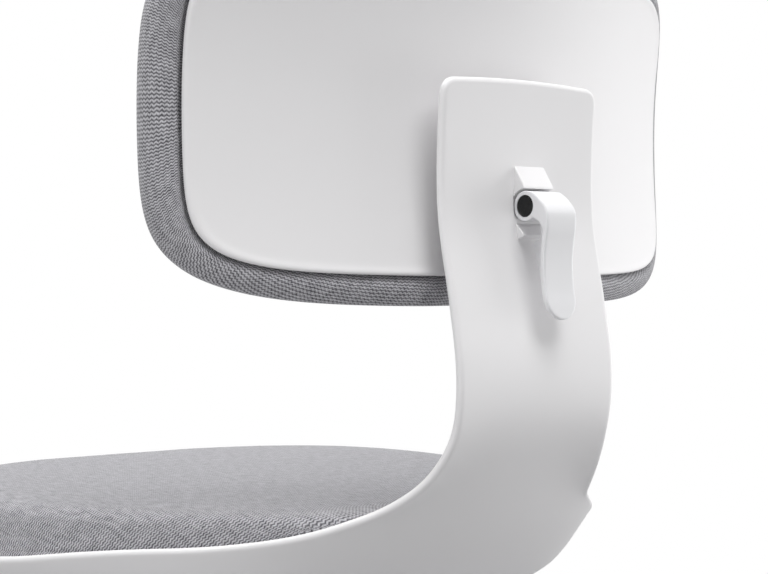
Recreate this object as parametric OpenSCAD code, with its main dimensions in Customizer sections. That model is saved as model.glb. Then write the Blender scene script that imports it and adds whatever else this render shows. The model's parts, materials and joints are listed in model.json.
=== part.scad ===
// Height-adjustable office chair on a five-star base with twin-wheel casters.
// The seat pan and the back post are one moulded sheet. The upholstered back slides
// on the post and is held by a hooked clamp lever. The sitter faces -Y, +X is the
// sitter's left, and the origin is on the floor under the column.

/* [Seat and post sheet] */
// Width of the seat pan over its rim
seat_w = 448; // [400:1:490]
// Column axis to the rear end of the seat outline, which runs under the post
seat_rear = 230; // [205:1:255]
// Column axis to the front edge of the seat
seat_front = 201; // [175:1:225]
// Underside of the pan above the floor, at middle seat height
pan_h = 399; // [380:1:440]
// Rise of the post's top above the underside of the pan
post_rise = 315; // [285:1:350]
// Width of the post
post_w = 128; // [112:1:140]
// Thickness of the moulded sheet
sheet_t = 5.4; // [4.6:0.1:6.4]
// Radius of the post's two top corners
post_corner_r = 8; // [5:0.5:12]
// Fall of the post's arched top from its middle to its corners
post_arch = 2.4; // [0:0.2:4]

/* [Seat cushion] */
// Height of the cushion's crest above the underside of the pan
cushion_rise = 68; // [60:1:80]
// Swell of the cushion's middle above its crest line
cushion_crown = 0.5; // [0:0.5:6]
// Thickness of the seat board under the foam
board_t = 8; // [6:0.5:10]

/* [Back rest] */
// Width of the back shell
back_w = 386.6; // [350:0.1:420]
// Height of the back shell
back_h = 176.2; // [160:0.1:200]
// Rise of the middle of the back shell above the underside of the pan
back_rise = 294; // [280:1:310]
// Column axis to the rear face of the back shell, at its middle
back_y = 222.2; // [220:0.1:226]
// Radius of the back shell in plan
back_plan_r = 387; // [320:1:500]
// Radius of the back shell seen from the side
back_bow_r = 500; // [450:10:900]
// Wall of the back shell
back_wall = 3; // [2.4:0.1:3.4]
// Reach of the pad past the shell's edge, all round
pad_reach = 15; // [12:0.5:22]
// Thickness of the back pad from the board to its front
pad_t = 25; // [20:0.5:32]

/* [Clamp] */
// Distance of the clamp from the middle of the post, towards the sitter's right
clamp_side = 7.2; // [0:0.1:10]
// Rise of the clamp's pivot above the underside of the pan
clamp_rise = 242.7; // [235:0.1:250]
// Width of the boss, and of the lever
clamp_w = 25; // [22:0.5:30]
// Radius of the lever's barrel
barrel_r = 8.7; // [8:0.1:10]
// Thickness of the lever's strap
strap_t = 3.6; // [3:0.1:5]
// Length of the lever below its pivot
lever_drop = 65; // [55:1:75]
// Diameter of the draw bolt
draw_d = 6; // [5:0.5:7]
// Travel of the back rest above its rest height
back_up = 10; // [6:1:12]
// Travel of the back rest below its rest height
back_down = 50; // [30:1:52]

/* [Column] */
// Diameter of the outer column tube
column_d = 50; // [46:1:54]
// Diameter of the gas cylinder
cylinder_d = 28; // [26:1:30]
// Travel of the seat above and below its middle height
seat_travel = 55; // [40:1:55]
// Underside of the mechanism below the pan
mechanism_h = 42; // [38:1:50]

/* [Base] */
// Column axis to each caster's stem
base_reach = 285; // [260:5:320]
// Diameter of the caster wheels
wheel_d = 50; // [50:1:60]
// Width of one wheel
wheel_w = 18; // [15:0.5:22]
// Trail of the wheel axle behind the stem
caster_trail = 20; // [16:0.5:24]

/* [Hidden] */
$fn = 64;
arm_count = 5;

// Clearances: a running fit, a loose fit, and the gap under soft parts
run_gap = 0.05;
loose_gap = 0.3;
soft_gap = 0.8;
// Overrun of a cut past the faces that it opens
over = 1;

// Sheet: each station has, as shares, the spine's y and z, the rim's way out from
// the post's side to the seat's side, and the rim's y and z
station_shares = [
    [-0.200, 0.000, 1.000, -0.200, 0.087],
    [0.089, 0.000, 0.959, 0.089, 0.098],
    [0.326, 0.000, 0.869, 0.308, 0.123],
    [0.522, 0.006, 0.756, 0.470, 0.139],
    [0.673, 0.008, 0.645, 0.606, 0.149],
    [0.794, 0.061, 0.505, 0.721, 0.159],
    [0.891, 0.123, 0.367, 0.817, 0.173],
    [0.961, 0.190, 0.239, 0.881, 0.193],
    [1.011, 0.252, 0.139, 0.929, 0.212],
    [1.050, 0.304, 0.071, 0.990, 0.244],
    [1.079, 0.348, 0.027, 1.044, 0.289],
    [1.099, 0.396, 0.001, 1.087, 0.351],
    [1.106, 0.448, 0.000, 1.104, 0.419],
    [1.100, 0.502, 0.000, 1.101, 0.494],
    [1.086, 0.559, 0.000, 1.086, 0.559],
    [1.069, 0.622, 0.000, 1.069, 0.622],
    [1.049, 0.686, 0.000, 1.049, 0.686],
    [1.034, 0.746, 0.000, 1.034, 0.746],
    [1.028, 0.806, 0.000, 1.028, 0.806],
    [1.028, 0.867, 0.000, 1.028, 0.867],
    [1.031, 0.933, 0.000, 1.031, 0.933],
    [1.037, 1.000, 0.000, 1.037, 1.000]
];
// Where the extra rows of the grid lie at the post's rounded top corners
top_row_shares = [0.4, 0.6, 0.75, 0.88, 0.96, 1];
widest_share = 0.2;
front_rim_share = 0.078;
front_power = 2.2;
flat_share = 0.4;
wall_power = 3.5;
root_share = 0.2;
arch_power = 8;
widest_y = widest_share * seat_rear;
last_station = len(station_shares) - 1;

function blend(a, b, k) = a + (b - a) * k;

// A smooth curve through the rows of a table, at s rows from its start
function spline_at(p, s) =
    let (i = min(floor(s), len(p) - 2), f = s - i)
    let (a = p[max(i - 1, 0)], b = p[i], c = p[i + 1], d = p[min(i + 2, len(p) - 1)])
    (2 * b + (c - a) * f + (2 * a - 5 * b + 4 * c - d) * f * f
        + (3 * b - a - 3 * c + d) * f * f * f) / 2;

// Rise of the pan's wall: flat in the middle, steep at the rim
function wall_rise(t) = pow(max(0, (t - flat_share) / (1 - flat_share)), wall_power);

// The same where the pan turns up into the post and its section becomes a plain dish
function dish_rise(t, rise_share) =
    blend(wall_rise(t), t * t, min(1, max(rise_share, 0) / root_share));

// How far the post's side draws in, a distance d below its top
function corner_in(d) =
    d >= post_corner_r ? 0
    : post_corner_r - sqrt(pow(post_corner_r, 2) - pow(post_corner_r - max(d, 0), 2));

// A point of the outer face behind the seat's widest line, at station s
function rear_point(s, t) =
    let (r = spline_at(station_shares, s))
    let (half = post_w / 2 + r[2] * (seat_w - post_w) / 2)
    let (drop = post_rise * (1 - r[1]))
    [
        t * (half - corner_in(drop)),
        seat_rear * blend(r[0], r[3], t * t),
        pan_h + post_rise * blend(max(r[1], 0), r[4], dish_rise(abs(t), r[1]))
            - post_arch * pow(max(r[1], 0), arch_power) * t * t
    ];

// A point of the outer face in front of the widest line, at plan angle a
function front_point(a, t) =
    let (out = pow(1 - pow(sin(a), front_power), 1 / front_power))
    let (rho = pow(pow(abs(t) * out, front_power) + pow(sin(a), front_power), 1 / front_power))
    let (rim = post_rise * blend(station_shares[0][4], front_rim_share, sin(a)))
    [
        t * out * seat_w / 2,
        -widest_y - (seat_front - widest_y) * sin(a),
        pan_h + rim * wall_rise(rho)
    ];

// Grid of outer-face points, from the front edge back and then up the post
function sheet_grid(angles, stations, columns) = concat(
    [for (a = angles) [for (t = columns) front_point(a, t)]],
    [for (s = stations) [for (t = columns) rear_point(s, t)]]
);

// Unit normal of a grid at a point, towards the sitter
function grid_normal(g, i, j) =
    let (u = g[i][min(j + 1, len(g[i]) - 1)] - g[i][max(j - 1, 0)])
    let (v = g[min(i + 1, len(g) - 1)][j] - g[max(i - 1, 0)][j])
    let (n = cross(u, v))
    n / norm(n);

function offset_grid(g, d) =
    [for (i = [0:len(g) - 1]) [for (j = [0:len(g[i]) - 1]) g[i][j] + d * grid_normal(g, i, j)]];

function columns(count, reach) =
    [for (j = [-count:count]) reach * sin(90 * j / count)];

// Closed solid between two grids of the same size, the second one above the first
module grid_solid(low, high) {
    rows = len(low);
    cols = len(low[0]);
    all = rows * cols;
    points = concat([for (r = low) each r], [for (r = high) each r]);
    faces = concat(
        [for (i = [0:rows - 2]) for (j = [0:cols - 2]) let (k = i * cols + j)
            each [[k, k + 1, k + cols + 1], [k, k + cols + 1, k + cols]]],
        [for (i = [0:rows - 2]) for (j = [0:cols - 2]) let (k = all + i * cols + j)
            each [[k, k + cols + 1, k + 1], [k, k + cols, k + cols + 1]]],
        [for (i = [0:rows - 2]) let (k = i * cols)
            each [[k, k + cols, all + k + cols], [k, all + k + cols, all + k]]],
        [for (i = [0:rows - 2]) let (k = i * cols + cols - 1)
            each [[k, all + k, all + k + cols], [k, all + k + cols, k + cols]]],
        [for (j = [0:cols - 2]) each [[j, all + j, all + j + 1], [j, all + j + 1, j + 1]]],
        [for (j = [0:cols - 2]) let (k = (rows - 1) * cols + j)
            each [[k, k + 1, all + k + 1], [k, all + k + 1, all + k]]]
    );
    polyhedron(points, faces);
}

// Closed solid through rings of points, with a point at the middle of each end.
// The rings grow up to number turn and then shrink.
module ring_solid(rings, turn, first_mid, last_mid) {
    count = len(rings[0]);
    points = concat([for (r = rings) each r], [first_mid, last_mid]);
    first_tip = len(rings) * count;
    last_row = (len(rings) - 1) * count;
    faces = concat(
        [for (k = [0:count - 1]) [first_tip, k, (k + 1) % count]],
        [for (i = [0:len(rings) - 2]) for (k = [0:count - 1])
            let (a = i * count + k, b = i * count + (k + 1) % count)
            each i < turn
                ? [[a, a + count, b + count], [a, b + count, b]]
                : [[a, a + count, b], [b, a + count, b + count]]],
        [for (k = [0:count - 1]) [first_tip + 1, last_row + (k + 1) % count, last_row + k]]
    );
    polyhedron(points, faces);
}

// Clamp: its places follow from the post's outer face at the pivot's height
function spine_at(z) =
    spline_at(station_shares, lookup(z / post_rise,
        [for (i = [2:last_station]) [station_shares[i][1], i]]));
clamp_x = -clamp_side;
clamp_z = pan_h + clamp_rise;
post_back_y = seat_rear * spine_at(clamp_rise)[0];
barrel_sink = 0.6;
pivot_y = post_back_y + barrel_r - barrel_sink;
cradle_r = barrel_r + 1.6;
boss_top = 22.4;
boss_lip = 11.2;
boss_out = 7.5;
boss_lip_t = 1.6;
boss_low_lip = 16.3;
boss_low_edge = 17.3;
boss_foot = 19.8;
boss_root = 2;
lever_out = 17.7;
lever_open = 45;
// Lever's side outline from the top of the barrel round the tip and back, as
// shares of lever_out and lever_drop
lever_shares = [
    [0.090, 0.090], [0.215, 0.131], [0.400, 0.110], [0.600, 0.072], [0.780, 0.028],
    [0.905, -0.015], [0.980, -0.062], [1.000, -0.125], [0.980, -0.215], [0.920, -0.320],
    [0.880, -0.460], [0.895, -0.600], [0.955, -0.740], [1.055, -0.870], [1.130, -1.000]
];
tip_share = 0.5;
neck_corner_share = 0.64;
// Rib under the lever's strap: it clears the lower lip of the boss and then runs
// along the post; also shares of lever_out and lever_drop
rib_t = 4;
rib_shares = [
    [0.158, -0.080], [0.158, -0.290], [-0.170, -0.317], [-0.017, -0.475], [0.164, -0.652],
    [0.690, -0.762], [0.800, -0.700], [0.750, -0.460], [0.840, -0.215], [0.700, -0.100]
];
pin_d = 6;
eye_r = 5;
eye_w = 6.4;
cap_r = 6.2;
cap_t = 2;
nut_w = 16;
nut_h = 14;
nut_t = 5;
// Gap from the nut to the shell, whose facets come forward between their corners
nut_gap = 0.7;

// Back rest: a saddle, flattened in the middle where the rail runs
back_z = pan_h + back_rise;
saddle_rise = 5;
saddle_z = back_z + saddle_rise;
back_power = 5.7;
// How far the long edges swell, and how much further the pad reaches up and down
back_swell = 2.5;
pad_tall_share = 1.23;
back_sides = 64;
// How far the points of an outline gather at its corners
corner_share = 0.6;
pad_power = 5;
// Pad's section round its edge, from the shell forwards: shares of pad_reach past
// the shell's edge, and shares of the pad's depth
pad_shares = [
    [0.08, 0.13], [0.09, 0.06], [0.50, 0.03], [0.88, 0.06], [1.00, 0.16], [0.97, 0.35],
    [0.86, 0.60], [0.60, 0.82]
];
// Where the inner rings of the pad's front, the board and the shell lie
pad_front_shares = [0.86, 0.6, 0.3];
board_ring_shares = [0.25, 0.5, 0.75, 1];
shell_ring_shares = [0.2, 0.4, 0.6, 0.8];
lip_w = 6;
lip_t = 1.2;
lip_flat_share = 0.7;
skirt_t = 4.5;
board_inset = 20;
back_board_t = 5;
back_cavity = 10;
board_z_share = 0.5;
board_x_share = 0.72;
// Turn of the board's screws, which stand square to the shell
screw_tilt = atan(board_x_share * (back_w / 2 - board_inset) / back_plan_r);
rail_w = 30;
rail_wall = 6;
slot_r = draw_d / 2 + loose_gap;
rail_y = seat_rear * min([for (s = [17:0.1:20]) spline_at(station_shares, s)[0]])
    - sheet_t - loose_gap;
rail_screw_low = 6;
rail_screw_high = 36;
rail_screw_r = 2;
screw_head_r = 3.6;
screw_head_t = 2.2;

// Seat: board, bolts and the mechanism under the pan
board_share = 0.5;
board_rear_share = 0.42;
board_skirt_share = 1.4;
cushion_reach_share = 0.96;
cushion_edge_angle = 76;
cushion_last_station = 6.7;
roll_share = 0.99;
roll_power = 9;
bolt_x = 58;
bolt_front = -72;
bolt_rear = 36;
bolt_r = 3;
bolt_head_r = 5.5;
bolt_head_t = 4;
plate_t = 4;
plate_x = 74;
plate_front = -88;
plate_rear = 56;
plate_corner_r = 10;
box_x = 46;
box_y = 50;
box_wall = 4;
hub_wall = 8;
hub_h = 20;

// Gas column, from the floor up. The star runs over the wheels, the tube's foot
// shows under the star, and the rod's under the tube.
star_clear = 14;
star_bottom = wheel_d + star_clear;
tube_foot = 6;
rod_out = 5;
tube_wall = 2;
tube_bottom = star_bottom - tube_foot;
tube_h = 207;
end_plate_t = 3;
bush_h = 60;
flange_t = 3;
cylinder_wall = 2;
cylinder_cap_t = 8;
cylinder_bottom = 140;
cylinder_top = pan_h - mechanism_h + hub_h + run_gap;
seal_h = 10;
rod_r = 5;
rod_foot = tube_bottom - rod_out;
rod_collar_r = 7;
rod_collar_t = 5;
piston_z = 208;
piston_t = 14;
bearing_r = 13;
bearing_t = 6;
clip_r = 10;
clip_t = 1.6;
release_r = 4;
release_proud = 5.5;
release_l = 14;

// Height lever
lever_bar_t = 5;
lever_bar_w = 12;
lever_pivot_x = -36;
lever_tail = 6;
lever_reach = 206;
knuckle_r = 5;
pivot_r = 2.5;
ear_t = 4;
ear_l = 12;
grip_l = 62;
grip_w = 30;
grip_t = 10;
grip_socket = 36;
lever_z = cylinder_top + release_proud + loose_gap + lever_bar_t / 2;

// Base
star_hub_r = 36;
hub_rise = 54;
star_top = star_bottom + hub_rise;
arm_rise = 8;
arm_root_w = 46;
arm_tip_w = 28;
arm_tip_h = 24;
arm_wall = 4;
tip_r = 18;
stem_r = 5.5;
stem_depth = 20;
stem_foot_r = 4;
collar_r = 9;
collar_t = 2;
collar_z = star_bottom - collar_t;
stem_drop = 24;
stem_foot_z = collar_z - stem_drop;

// Caster
wheel_r = wheel_d / 2;
wheel_gap = 14;
wheel_edge_r = 4;
wheel_dish = 5;
wheel_hub_r = 10;
axle_r = 4;
hood_gap = 1.2;
hood_t = 2.2;
hood_top = collar_z - loose_gap;
hood_skirt = 3;
web_w = 12;
web_r = 16;
neck_r = 9.5;
neck_z = wheel_d + hood_gap + loose_gap;
cover_front = 9;

white = "#eeeeee";
fabric = "#a2a5aa";
dark = "#2b2c2e";
steel = "#b4b8bc";

// Plan outline of the seat, as a distance share: 1 on the rim
function seat_rho(x, y) =
    y < -widest_y
    ? pow(pow(abs(x) * 2 / seat_w, front_power)
        + pow((-widest_y - y) / (seat_front - widest_y), front_power), 1 / front_power)
    : norm([x * 2 / seat_w, (y + widest_y) / (seat_rear + widest_y)]);

// The same for the smaller board under the foam
function board_rho(x, y) =
    y < -widest_y ? seat_rho(x, y) / board_share
    : norm([x * 2 / (seat_w * board_share),
        (y + widest_y) / ((seat_rear + widest_y) * board_rear_share)]);

function board_points() = concat(
    [for (a = [0:6:180]) [
        cos(a) * board_share * seat_w / 2,
        -widest_y + sin(a) * board_rear_share * (seat_rear + widest_y)
    ]],
    [for (a = [186:6:354]) [
        sign(cos(a)) * pow(abs(cos(a)), 2 / front_power) * board_share * seat_w / 2,
        -widest_y - pow(-sin(a), 2 / front_power) * board_share * (seat_front - widest_y)
    ]]
);

function rim_z(y) =
    let (k = (y + widest_y) / (station_shares[5][3] * seat_rear + widest_y))
    pan_h + post_rise * blend(station_shares[0][4], station_shares[5][4], max(0, min(1, k)));

function cushion_top(x, y) =
    let (rho = seat_rho(x, y))
    let (roll = sqrt(max(0, 1 - pow(min(rho / roll_share, 1), roll_power))))
    blend(rim_z(y), pan_h + cushion_rise + cushion_crown * (1 - rho * rho), roll);

function cushion_low(p) =
    [p[0], p[1], board_rho(p[0], p[1]) < board_skirt_share
        ? max(p[2], pan_h + sheet_t + loose_gap + board_t + soft_gap) : p[2]];

// A point of the saddle-shaped back, a depth d in front of the shell's rear face.
// The lower middle is upright, where the rail runs.
function bow_at(x, z) =
    let (flat = clamp_side + rail_w / 2)
    let (k = max(0, min(1, (abs(x) - flat) / (post_w / 2 - flat))))
    z > saddle_z ? 1 : k * k * (3 - 2 * k);
function back_point(x, z, d) = [
    x,
    back_y - x * x / (2 * back_plan_r) + bow_at(x, z) * pow(z - saddle_z, 2) / (2 * back_bow_r) - d,
    z
];
function back_ring(w, h, power, d) =
    [for (k = [0:back_sides - 1])
        let (u = 4 * k / back_sides, f = u - floor(u))
        let (a = 90 * (u + corner_share * sin(360 * f) / (2 * PI)))
        let (c = cos(a), s = sin(a))
        let (q = pow(pow(abs(c), power) + pow(abs(s), power), -1 / power))
        let (swell = back_swell * h / back_h * 2 * (1 - pow(c * q, 2)))
        back_point(w * c * q, back_z + (h + swell) * s * q, d)];

// Extrudes an outline drawn as [y, z] along X, centred on x
module along_x(width, x = 0)
    translate([x - width / 2, 0, 0])
        rotate([90, 0, 90]) linear_extrude(width) children();

// A cylinder along X or Y, centred on its place
module rod_x(r, l) rotate([0, 90, 0]) cylinder(r = r, h = l, center = true);
module rod_y(r, l) rotate([90, 0, 0]) cylinder(r = r, h = l, center = true);

module at_bolts()
    for (x = [-bolt_x, bolt_x]) for (y = [bolt_front, bolt_rear]) translate([x, y, 0]) children();

module at_casters(k)
    rotate(90 + 360 / arm_count * k) translate([base_reach, 0, 0])
        rotate(-90 - 360 / arm_count * k) children();

module frame_shell() color(white) {
    angles = [for (k = [9:-1:1]) 9 * k - 1];
    stations = concat([for (s = [0:0.5:last_station - 1]) s],
        [for (k = top_row_shares) last_station - 1 + k]);
    outer = sheet_grid(angles, stations, columns(10, 1));
    difference() {
        union() {
            grid_solid(outer, offset_grid(outer, sheet_t));
            clamp_boss();
        }
        translate([clamp_x, pivot_y, clamp_z]) rod_x(cradle_r, clamp_w + 2 * over);
        translate([clamp_x, post_back_y, clamp_z]) rod_y(draw_d / 2 + loose_gap, 4 * sheet_t);
        at_bolts() translate([0, 0, pan_h - over])
            cylinder(r = bolt_r + loose_gap, h = sheet_t + 2 * over);
    }
}

// Two wedges on the post, with a cradle between them for the lever's barrel
module clamp_boss()
    translate([0, post_back_y, clamp_z]) along_x(clamp_w, clamp_x) polygon([
        [-boss_root, boss_top + boss_root], [0, boss_top], [boss_out, boss_lip],
        [boss_out, boss_lip - boss_lip_t], [0, 0], [0, -barrel_r],
        [boss_out, -boss_low_lip], [boss_out, -boss_low_edge], [0, -boss_foot],
        [-boss_root, -boss_foot]
    ]);

module seat_board() color("#b08a5c")
    translate([0, 0, pan_h + sheet_t + loose_gap]) difference() {
        linear_extrude(board_t) polygon(board_points());
        at_bolts() translate([0, 0, -over]) cylinder(r = bolt_r, h = board_t + 2 * over);
    }

module seat_cushion() color(fabric) {
    angles = [for (k = [8:-1:1]) cushion_edge_angle * k / 8];
    stations = [for (k = [0:13]) cushion_last_station * k / 13];
    outer = sheet_grid(angles, stations, columns(9, cushion_reach_share));
    low = [for (r = offset_grid(outer, sheet_t + soft_gap)) [for (p = r) cushion_low(p)]];
    high = [for (r = low) [for (p = r)
        [p[0], p[1], max(cushion_top(p[0], p[1]), p[2] + sheet_t)]]];
    grid_solid(low, high);
}

module mechanism_body() color("#55585c") {
    bottom = pan_h - mechanism_h;
    difference() {
        union() {
            translate([0, 0, pan_h - plate_t]) linear_extrude(plate_t) difference() {
                plate_outline();
                at_bolts() circle(bolt_r + loose_gap);
            }
            difference() {
                translate([-box_x, -box_y, bottom])
                    cube([2 * box_x, 2 * box_y, mechanism_h - plate_t / 2]);
                translate([box_wall - box_x, box_wall - box_y, bottom + box_wall])
                    cube([2 * (box_x - box_wall), 2 * (box_y - box_wall), mechanism_h]);
            }
            translate([0, 0, bottom]) cylinder(r = cylinder_d / 2 + hub_wall, h = hub_h);
            for (y = [-1, 1])
                translate([
                    lever_pivot_x - ear_l / 2,
                    y * (lever_bar_w / 2 + loose_gap + ear_t / 2) - ear_t / 2,
                    lever_z - knuckle_r
                ])
                    cube([ear_l, ear_t, pan_h - plate_t / 2 - lever_z + knuckle_r]);
        }
        translate([0, 0, bottom - over])
            cylinder(r = cylinder_d / 2 + run_gap, h = hub_h + 2 * over);
        translate([lever_pivot_x, 0, lever_z]) rod_y(pivot_r, lever_bar_w + 3 * ear_t);
        translate([-box_x - over, -lever_bar_w / 2 - ear_t, lever_z - 2 * lever_bar_t])
            cube([box_wall + 2 * over, lever_bar_w + 2 * ear_t, 3.4 * lever_bar_t]);
    }
}

module plate_outline() {
    reach = plate_x - plate_corner_r;
    translate([-plate_x, plate_front + plate_corner_r])
        square([2 * plate_x, plate_rear - plate_front - 2 * plate_corner_r]);
    translate([-reach, plate_front]) square([2 * reach, plate_rear - plate_front]);
    for (x = [-reach, reach]) for (y = [plate_front + plate_corner_r, plate_rear - plate_corner_r])
        translate([x, y]) circle(plate_corner_r);
}

module mechanism_bolts() color(steel)
    at_bolts() {
        translate([0, 0, pan_h - plate_t - bolt_head_t])
            cylinder(r = bolt_head_r, h = bolt_head_t);
        translate([0, 0, pan_h - plate_t - bolt_head_t])
            cylinder(r = bolt_r, h = bolt_head_t + plate_t + sheet_t + board_t);
    }

module gas_cylinder() color(dark)
    difference() {
        translate([0, 0, cylinder_bottom])
            cylinder(r = cylinder_d / 2, h = cylinder_top - cylinder_bottom);
        translate([0, 0, cylinder_bottom - over]) cylinder(
            r = cylinder_d / 2 - cylinder_wall,
            h = cylinder_top - cylinder_bottom - cylinder_cap_t + over);
        translate([0, 0, cylinder_top - cylinder_cap_t - over])
            cylinder(r = release_r + run_gap, h = cylinder_cap_t + 2 * over);
    }

module rod_seal() color(dark)
    translate([0, 0, cylinder_bottom]) difference() {
        cylinder(r = cylinder_d / 2 - cylinder_wall, h = seal_h);
        translate([0, 0, -over]) cylinder(r = rod_r + run_gap, h = seal_h + 2 * over);
    }

module release_pin() color(steel)
    translate([0, 0, cylinder_top + release_proud - release_l])
        cylinder(r = release_r, h = release_l);

module height_lever() color(steel)
    difference() {
        union() {
            translate([-lever_reach, -lever_bar_w / 2, lever_z - lever_bar_t / 2])
                cube([lever_reach + lever_tail, lever_bar_w, lever_bar_t]);
            translate([lever_pivot_x, 0, lever_z]) rod_y(knuckle_r, lever_bar_w);
        }
        translate([lever_pivot_x, 0, lever_z]) rod_y(pivot_r + run_gap, lever_bar_w + 2 * over);
    }

module lever_pivot() color(steel)
    translate([lever_pivot_x, 0, lever_z])
        rod_y(pivot_r, lever_bar_w + 2 * (loose_gap + ear_t));

module height_grip() color(dark)
    difference() {
        translate([-lever_reach - grip_l + grip_socket + grip_w / 2, 0, lever_z - grip_t / 2])
            linear_extrude(grip_t) {
                circle(grip_w / 2);
                translate([0, -grip_w / 2]) square([grip_l - grip_w / 2, grip_w]);
            }
        translate([-lever_reach, -lever_bar_w / 2, lever_z - lever_bar_t / 2])
            cube([lever_reach, lever_bar_w, lever_bar_t]);
    }

module draw_bolt() color(steel)
    translate([clamp_x, 0, clamp_z]) {
        nut_front = nut_back() - nut_t;
        difference() {
            union() {
                translate([0, pivot_y, 0]) rod_x(eye_r, eye_w);
                translate([0, (pivot_y + nut_front) / 2, 0])
                    rod_y(draw_d / 2, pivot_y - nut_front);
            }
            translate([0, pivot_y, 0]) rod_x(pin_d / 2, eye_w + 2 * over);
        }
    }

// Rear face of the nut, clear of the shell at its outer corner
function nut_back() = back_point(clamp_x - nut_w / 2, clamp_z, back_wall)[1] - nut_gap;

module clamp_nut() color(steel)
    difference() {
        translate([clamp_x - nut_w / 2, nut_back() - nut_t, clamp_z - nut_h / 2])
            cube([nut_w, nut_t, nut_h]);
        translate([clamp_x, nut_back(), clamp_z]) rod_y(draw_d / 2, 3 * nut_t);
    }

module clamp_pin() color(steel)
    translate([clamp_x, pivot_y, clamp_z]) rod_x(pin_d / 2, clamp_w - 2 * cap_t);

module clamp_caps() color(dark)
    for (x = [-1, 1])
        translate([clamp_x + x * (clamp_w - cap_t) / 2, pivot_y, clamp_z]) rod_x(cap_r, cap_t);

module clamp_lever() color(white)
    translate([clamp_x, pivot_y, clamp_z]) difference() {
        union() {
            rod_x(barrel_r, clamp_w);
            along_x(rib_t) polygon([for (p = rib_shares) [p[0] * lever_out, p[1] * lever_drop]]);
            intersection() {
                along_x(clamp_w) lever_outline();
                // Round end, seen from behind
                rotate([90, 0, 0]) linear_extrude(4 * lever_out, center = true) union() {
                    translate([0, -lever_drop + clamp_w * tip_share]) circle(clamp_w / 2);
                    translate([-clamp_w / 2, -lever_drop + clamp_w * tip_share])
                        square([clamp_w, lever_drop + 2 * barrel_r]);
                }
            }
        }
        rod_x(pin_d / 2 + run_gap, clamp_w + 2 * over);
        for (x = [-1, 1]) translate([x * clamp_w / 2, 0, 0]) rod_x(cap_r, 2 * cap_t);
        // Slot for the bolt's eye and, as the lever swings, for its shank
        along_x(eye_w + 2 * loose_gap) union() {
            circle(eye_r + loose_gap);
            polygon([
                [0, -draw_d / 2 - loose_gap],
                [-2 * barrel_r, -draw_d / 2 - loose_gap],
                [-2 * barrel_r, 2 * barrel_r],
                [-2 * barrel_r * sin(lever_open) + draw_d / 2,
                    2 * barrel_r * cos(lever_open) + draw_d / 2],
                [draw_d / 2 * cos(lever_open), draw_d / 2 * sin(lever_open)]
            ]);
        }
    }

// Hooked strap: its outer line, and its inner line one thickness inside it
module lever_outline() {
    back = [for (s = [0:0.25:len(lever_shares) - 1]) let (p = spline_at(lever_shares, s))
        [p[0] * lever_out, p[1] * lever_drop]];
    front = [for (s = [len(lever_shares) - 1:-0.5:8]) let (p = spline_at(lever_shares, s))
        [p[0] * lever_out - strap_t, p[1] * lever_drop]];
    polygon(concat(back, front, [
        [neck_corner_share * lever_out, -barrel_r - strap_t / 4],
        [neck_corner_share * lever_out - strap_t / 4, -barrel_r],
        [0, -barrel_r / 2]
    ]));
}

module back_rail() color(white) {
    low = clamp_z - back_up - slot_r - rail_wall;
    high = clamp_z + back_down + slot_r + rail_wall;
    difference() {
        translate([clamp_x - rail_w / 2, back_y + loose_gap, low])
            cube([rail_w, rail_y - back_y - loose_gap, high - low]);
        travel_slot();
        at_rail_screws() rod_y(rail_screw_r, back_h / 4);
    }
}

module travel_slot() {
    for (z = [clamp_z - back_up, clamp_z + back_down])
        translate([clamp_x, rail_y, z]) rod_y(slot_r, back_h / 4);
    translate([clamp_x - slot_r, rail_y - back_h / 8, clamp_z - back_up])
        cube([2 * slot_r, back_h / 4, back_up + back_down]);
}

module at_rail_screws()
    for (x = [-1, 1]) for (z = [-rail_screw_low, rail_screw_high])
        translate([clamp_x + x * (rail_w - rail_wall) / 2, rail_y, clamp_z + z]) children();

module rail_screws() color(steel)
    at_rail_screws() {
        depth = rail_y - back_y + back_wall + screw_head_t;
        translate([0, -depth / 2 - loose_gap, 0]) rod_y(rail_screw_r, depth);
        translate([0, -depth - loose_gap, 0]) rod_y(screw_head_r, screw_head_t);
    }

module back_shell() color(white) {
    half_w = back_w / 2;
    half_h = back_h / 2;
    // Scale of each ring, its distance in from the edge and its depth
    profile = concat(
        [for (k = shell_ring_shares) [k, 0, 0]],
        [[1, lip_w, 0], [1, lip_w * lip_flat_share, -lip_t], [1, lip_t, -lip_t], [1, 0, 0],
            [1, 0, skirt_t - lip_t], [1, lip_t, skirt_t], [1, lip_w * lip_flat_share, skirt_t],
            [1, lip_w, back_wall]],
        [for (k = shell_ring_shares) [1 - k, 0, back_wall]]
    );
    difference() {
        union() {
            ring_solid(
                [for (p = profile) back_ring(
                    half_w * p[0] - p[1], half_h * p[0] - p[1], back_power, p[2])],
                8,
                back_point(0, back_z, 0),
                back_point(0, back_z, back_wall));
            at_board_screws() {
                boss_end = back_cavity * cos(screw_tilt) - loose_gap;
                translate([0, -(back_wall + boss_end - loose_gap) / 2, 0])
                    rod_y(screw_head_r, boss_end - back_wall + loose_gap);
            }
        }
        translate([clamp_x - slot_r, back_y - 2 * back_wall, clamp_z - back_up - slot_r])
            cube([2 * slot_r, 4 * back_wall, back_up + back_down + 2 * slot_r]);
        at_rail_screws() rod_y(rail_screw_r, back_h / 4);
        at_board_screws() translate([0, -back_cavity, 0])
            rod_y(rail_screw_r, 2 * (back_cavity - back_wall));
    }
}

module at_board_screws()
    for (x = [-1, 1]) for (z = [-1, 1])
        let (px = x * board_x_share * (back_w / 2 - board_inset))
        let (pz = back_z + z * board_z_share * (back_h / 2 - board_inset))
        translate(back_point(px, pz, 0))
            rotate([atan((saddle_z - pz) / back_bow_r), 0, -atan(px / back_plan_r)]) children();

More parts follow.
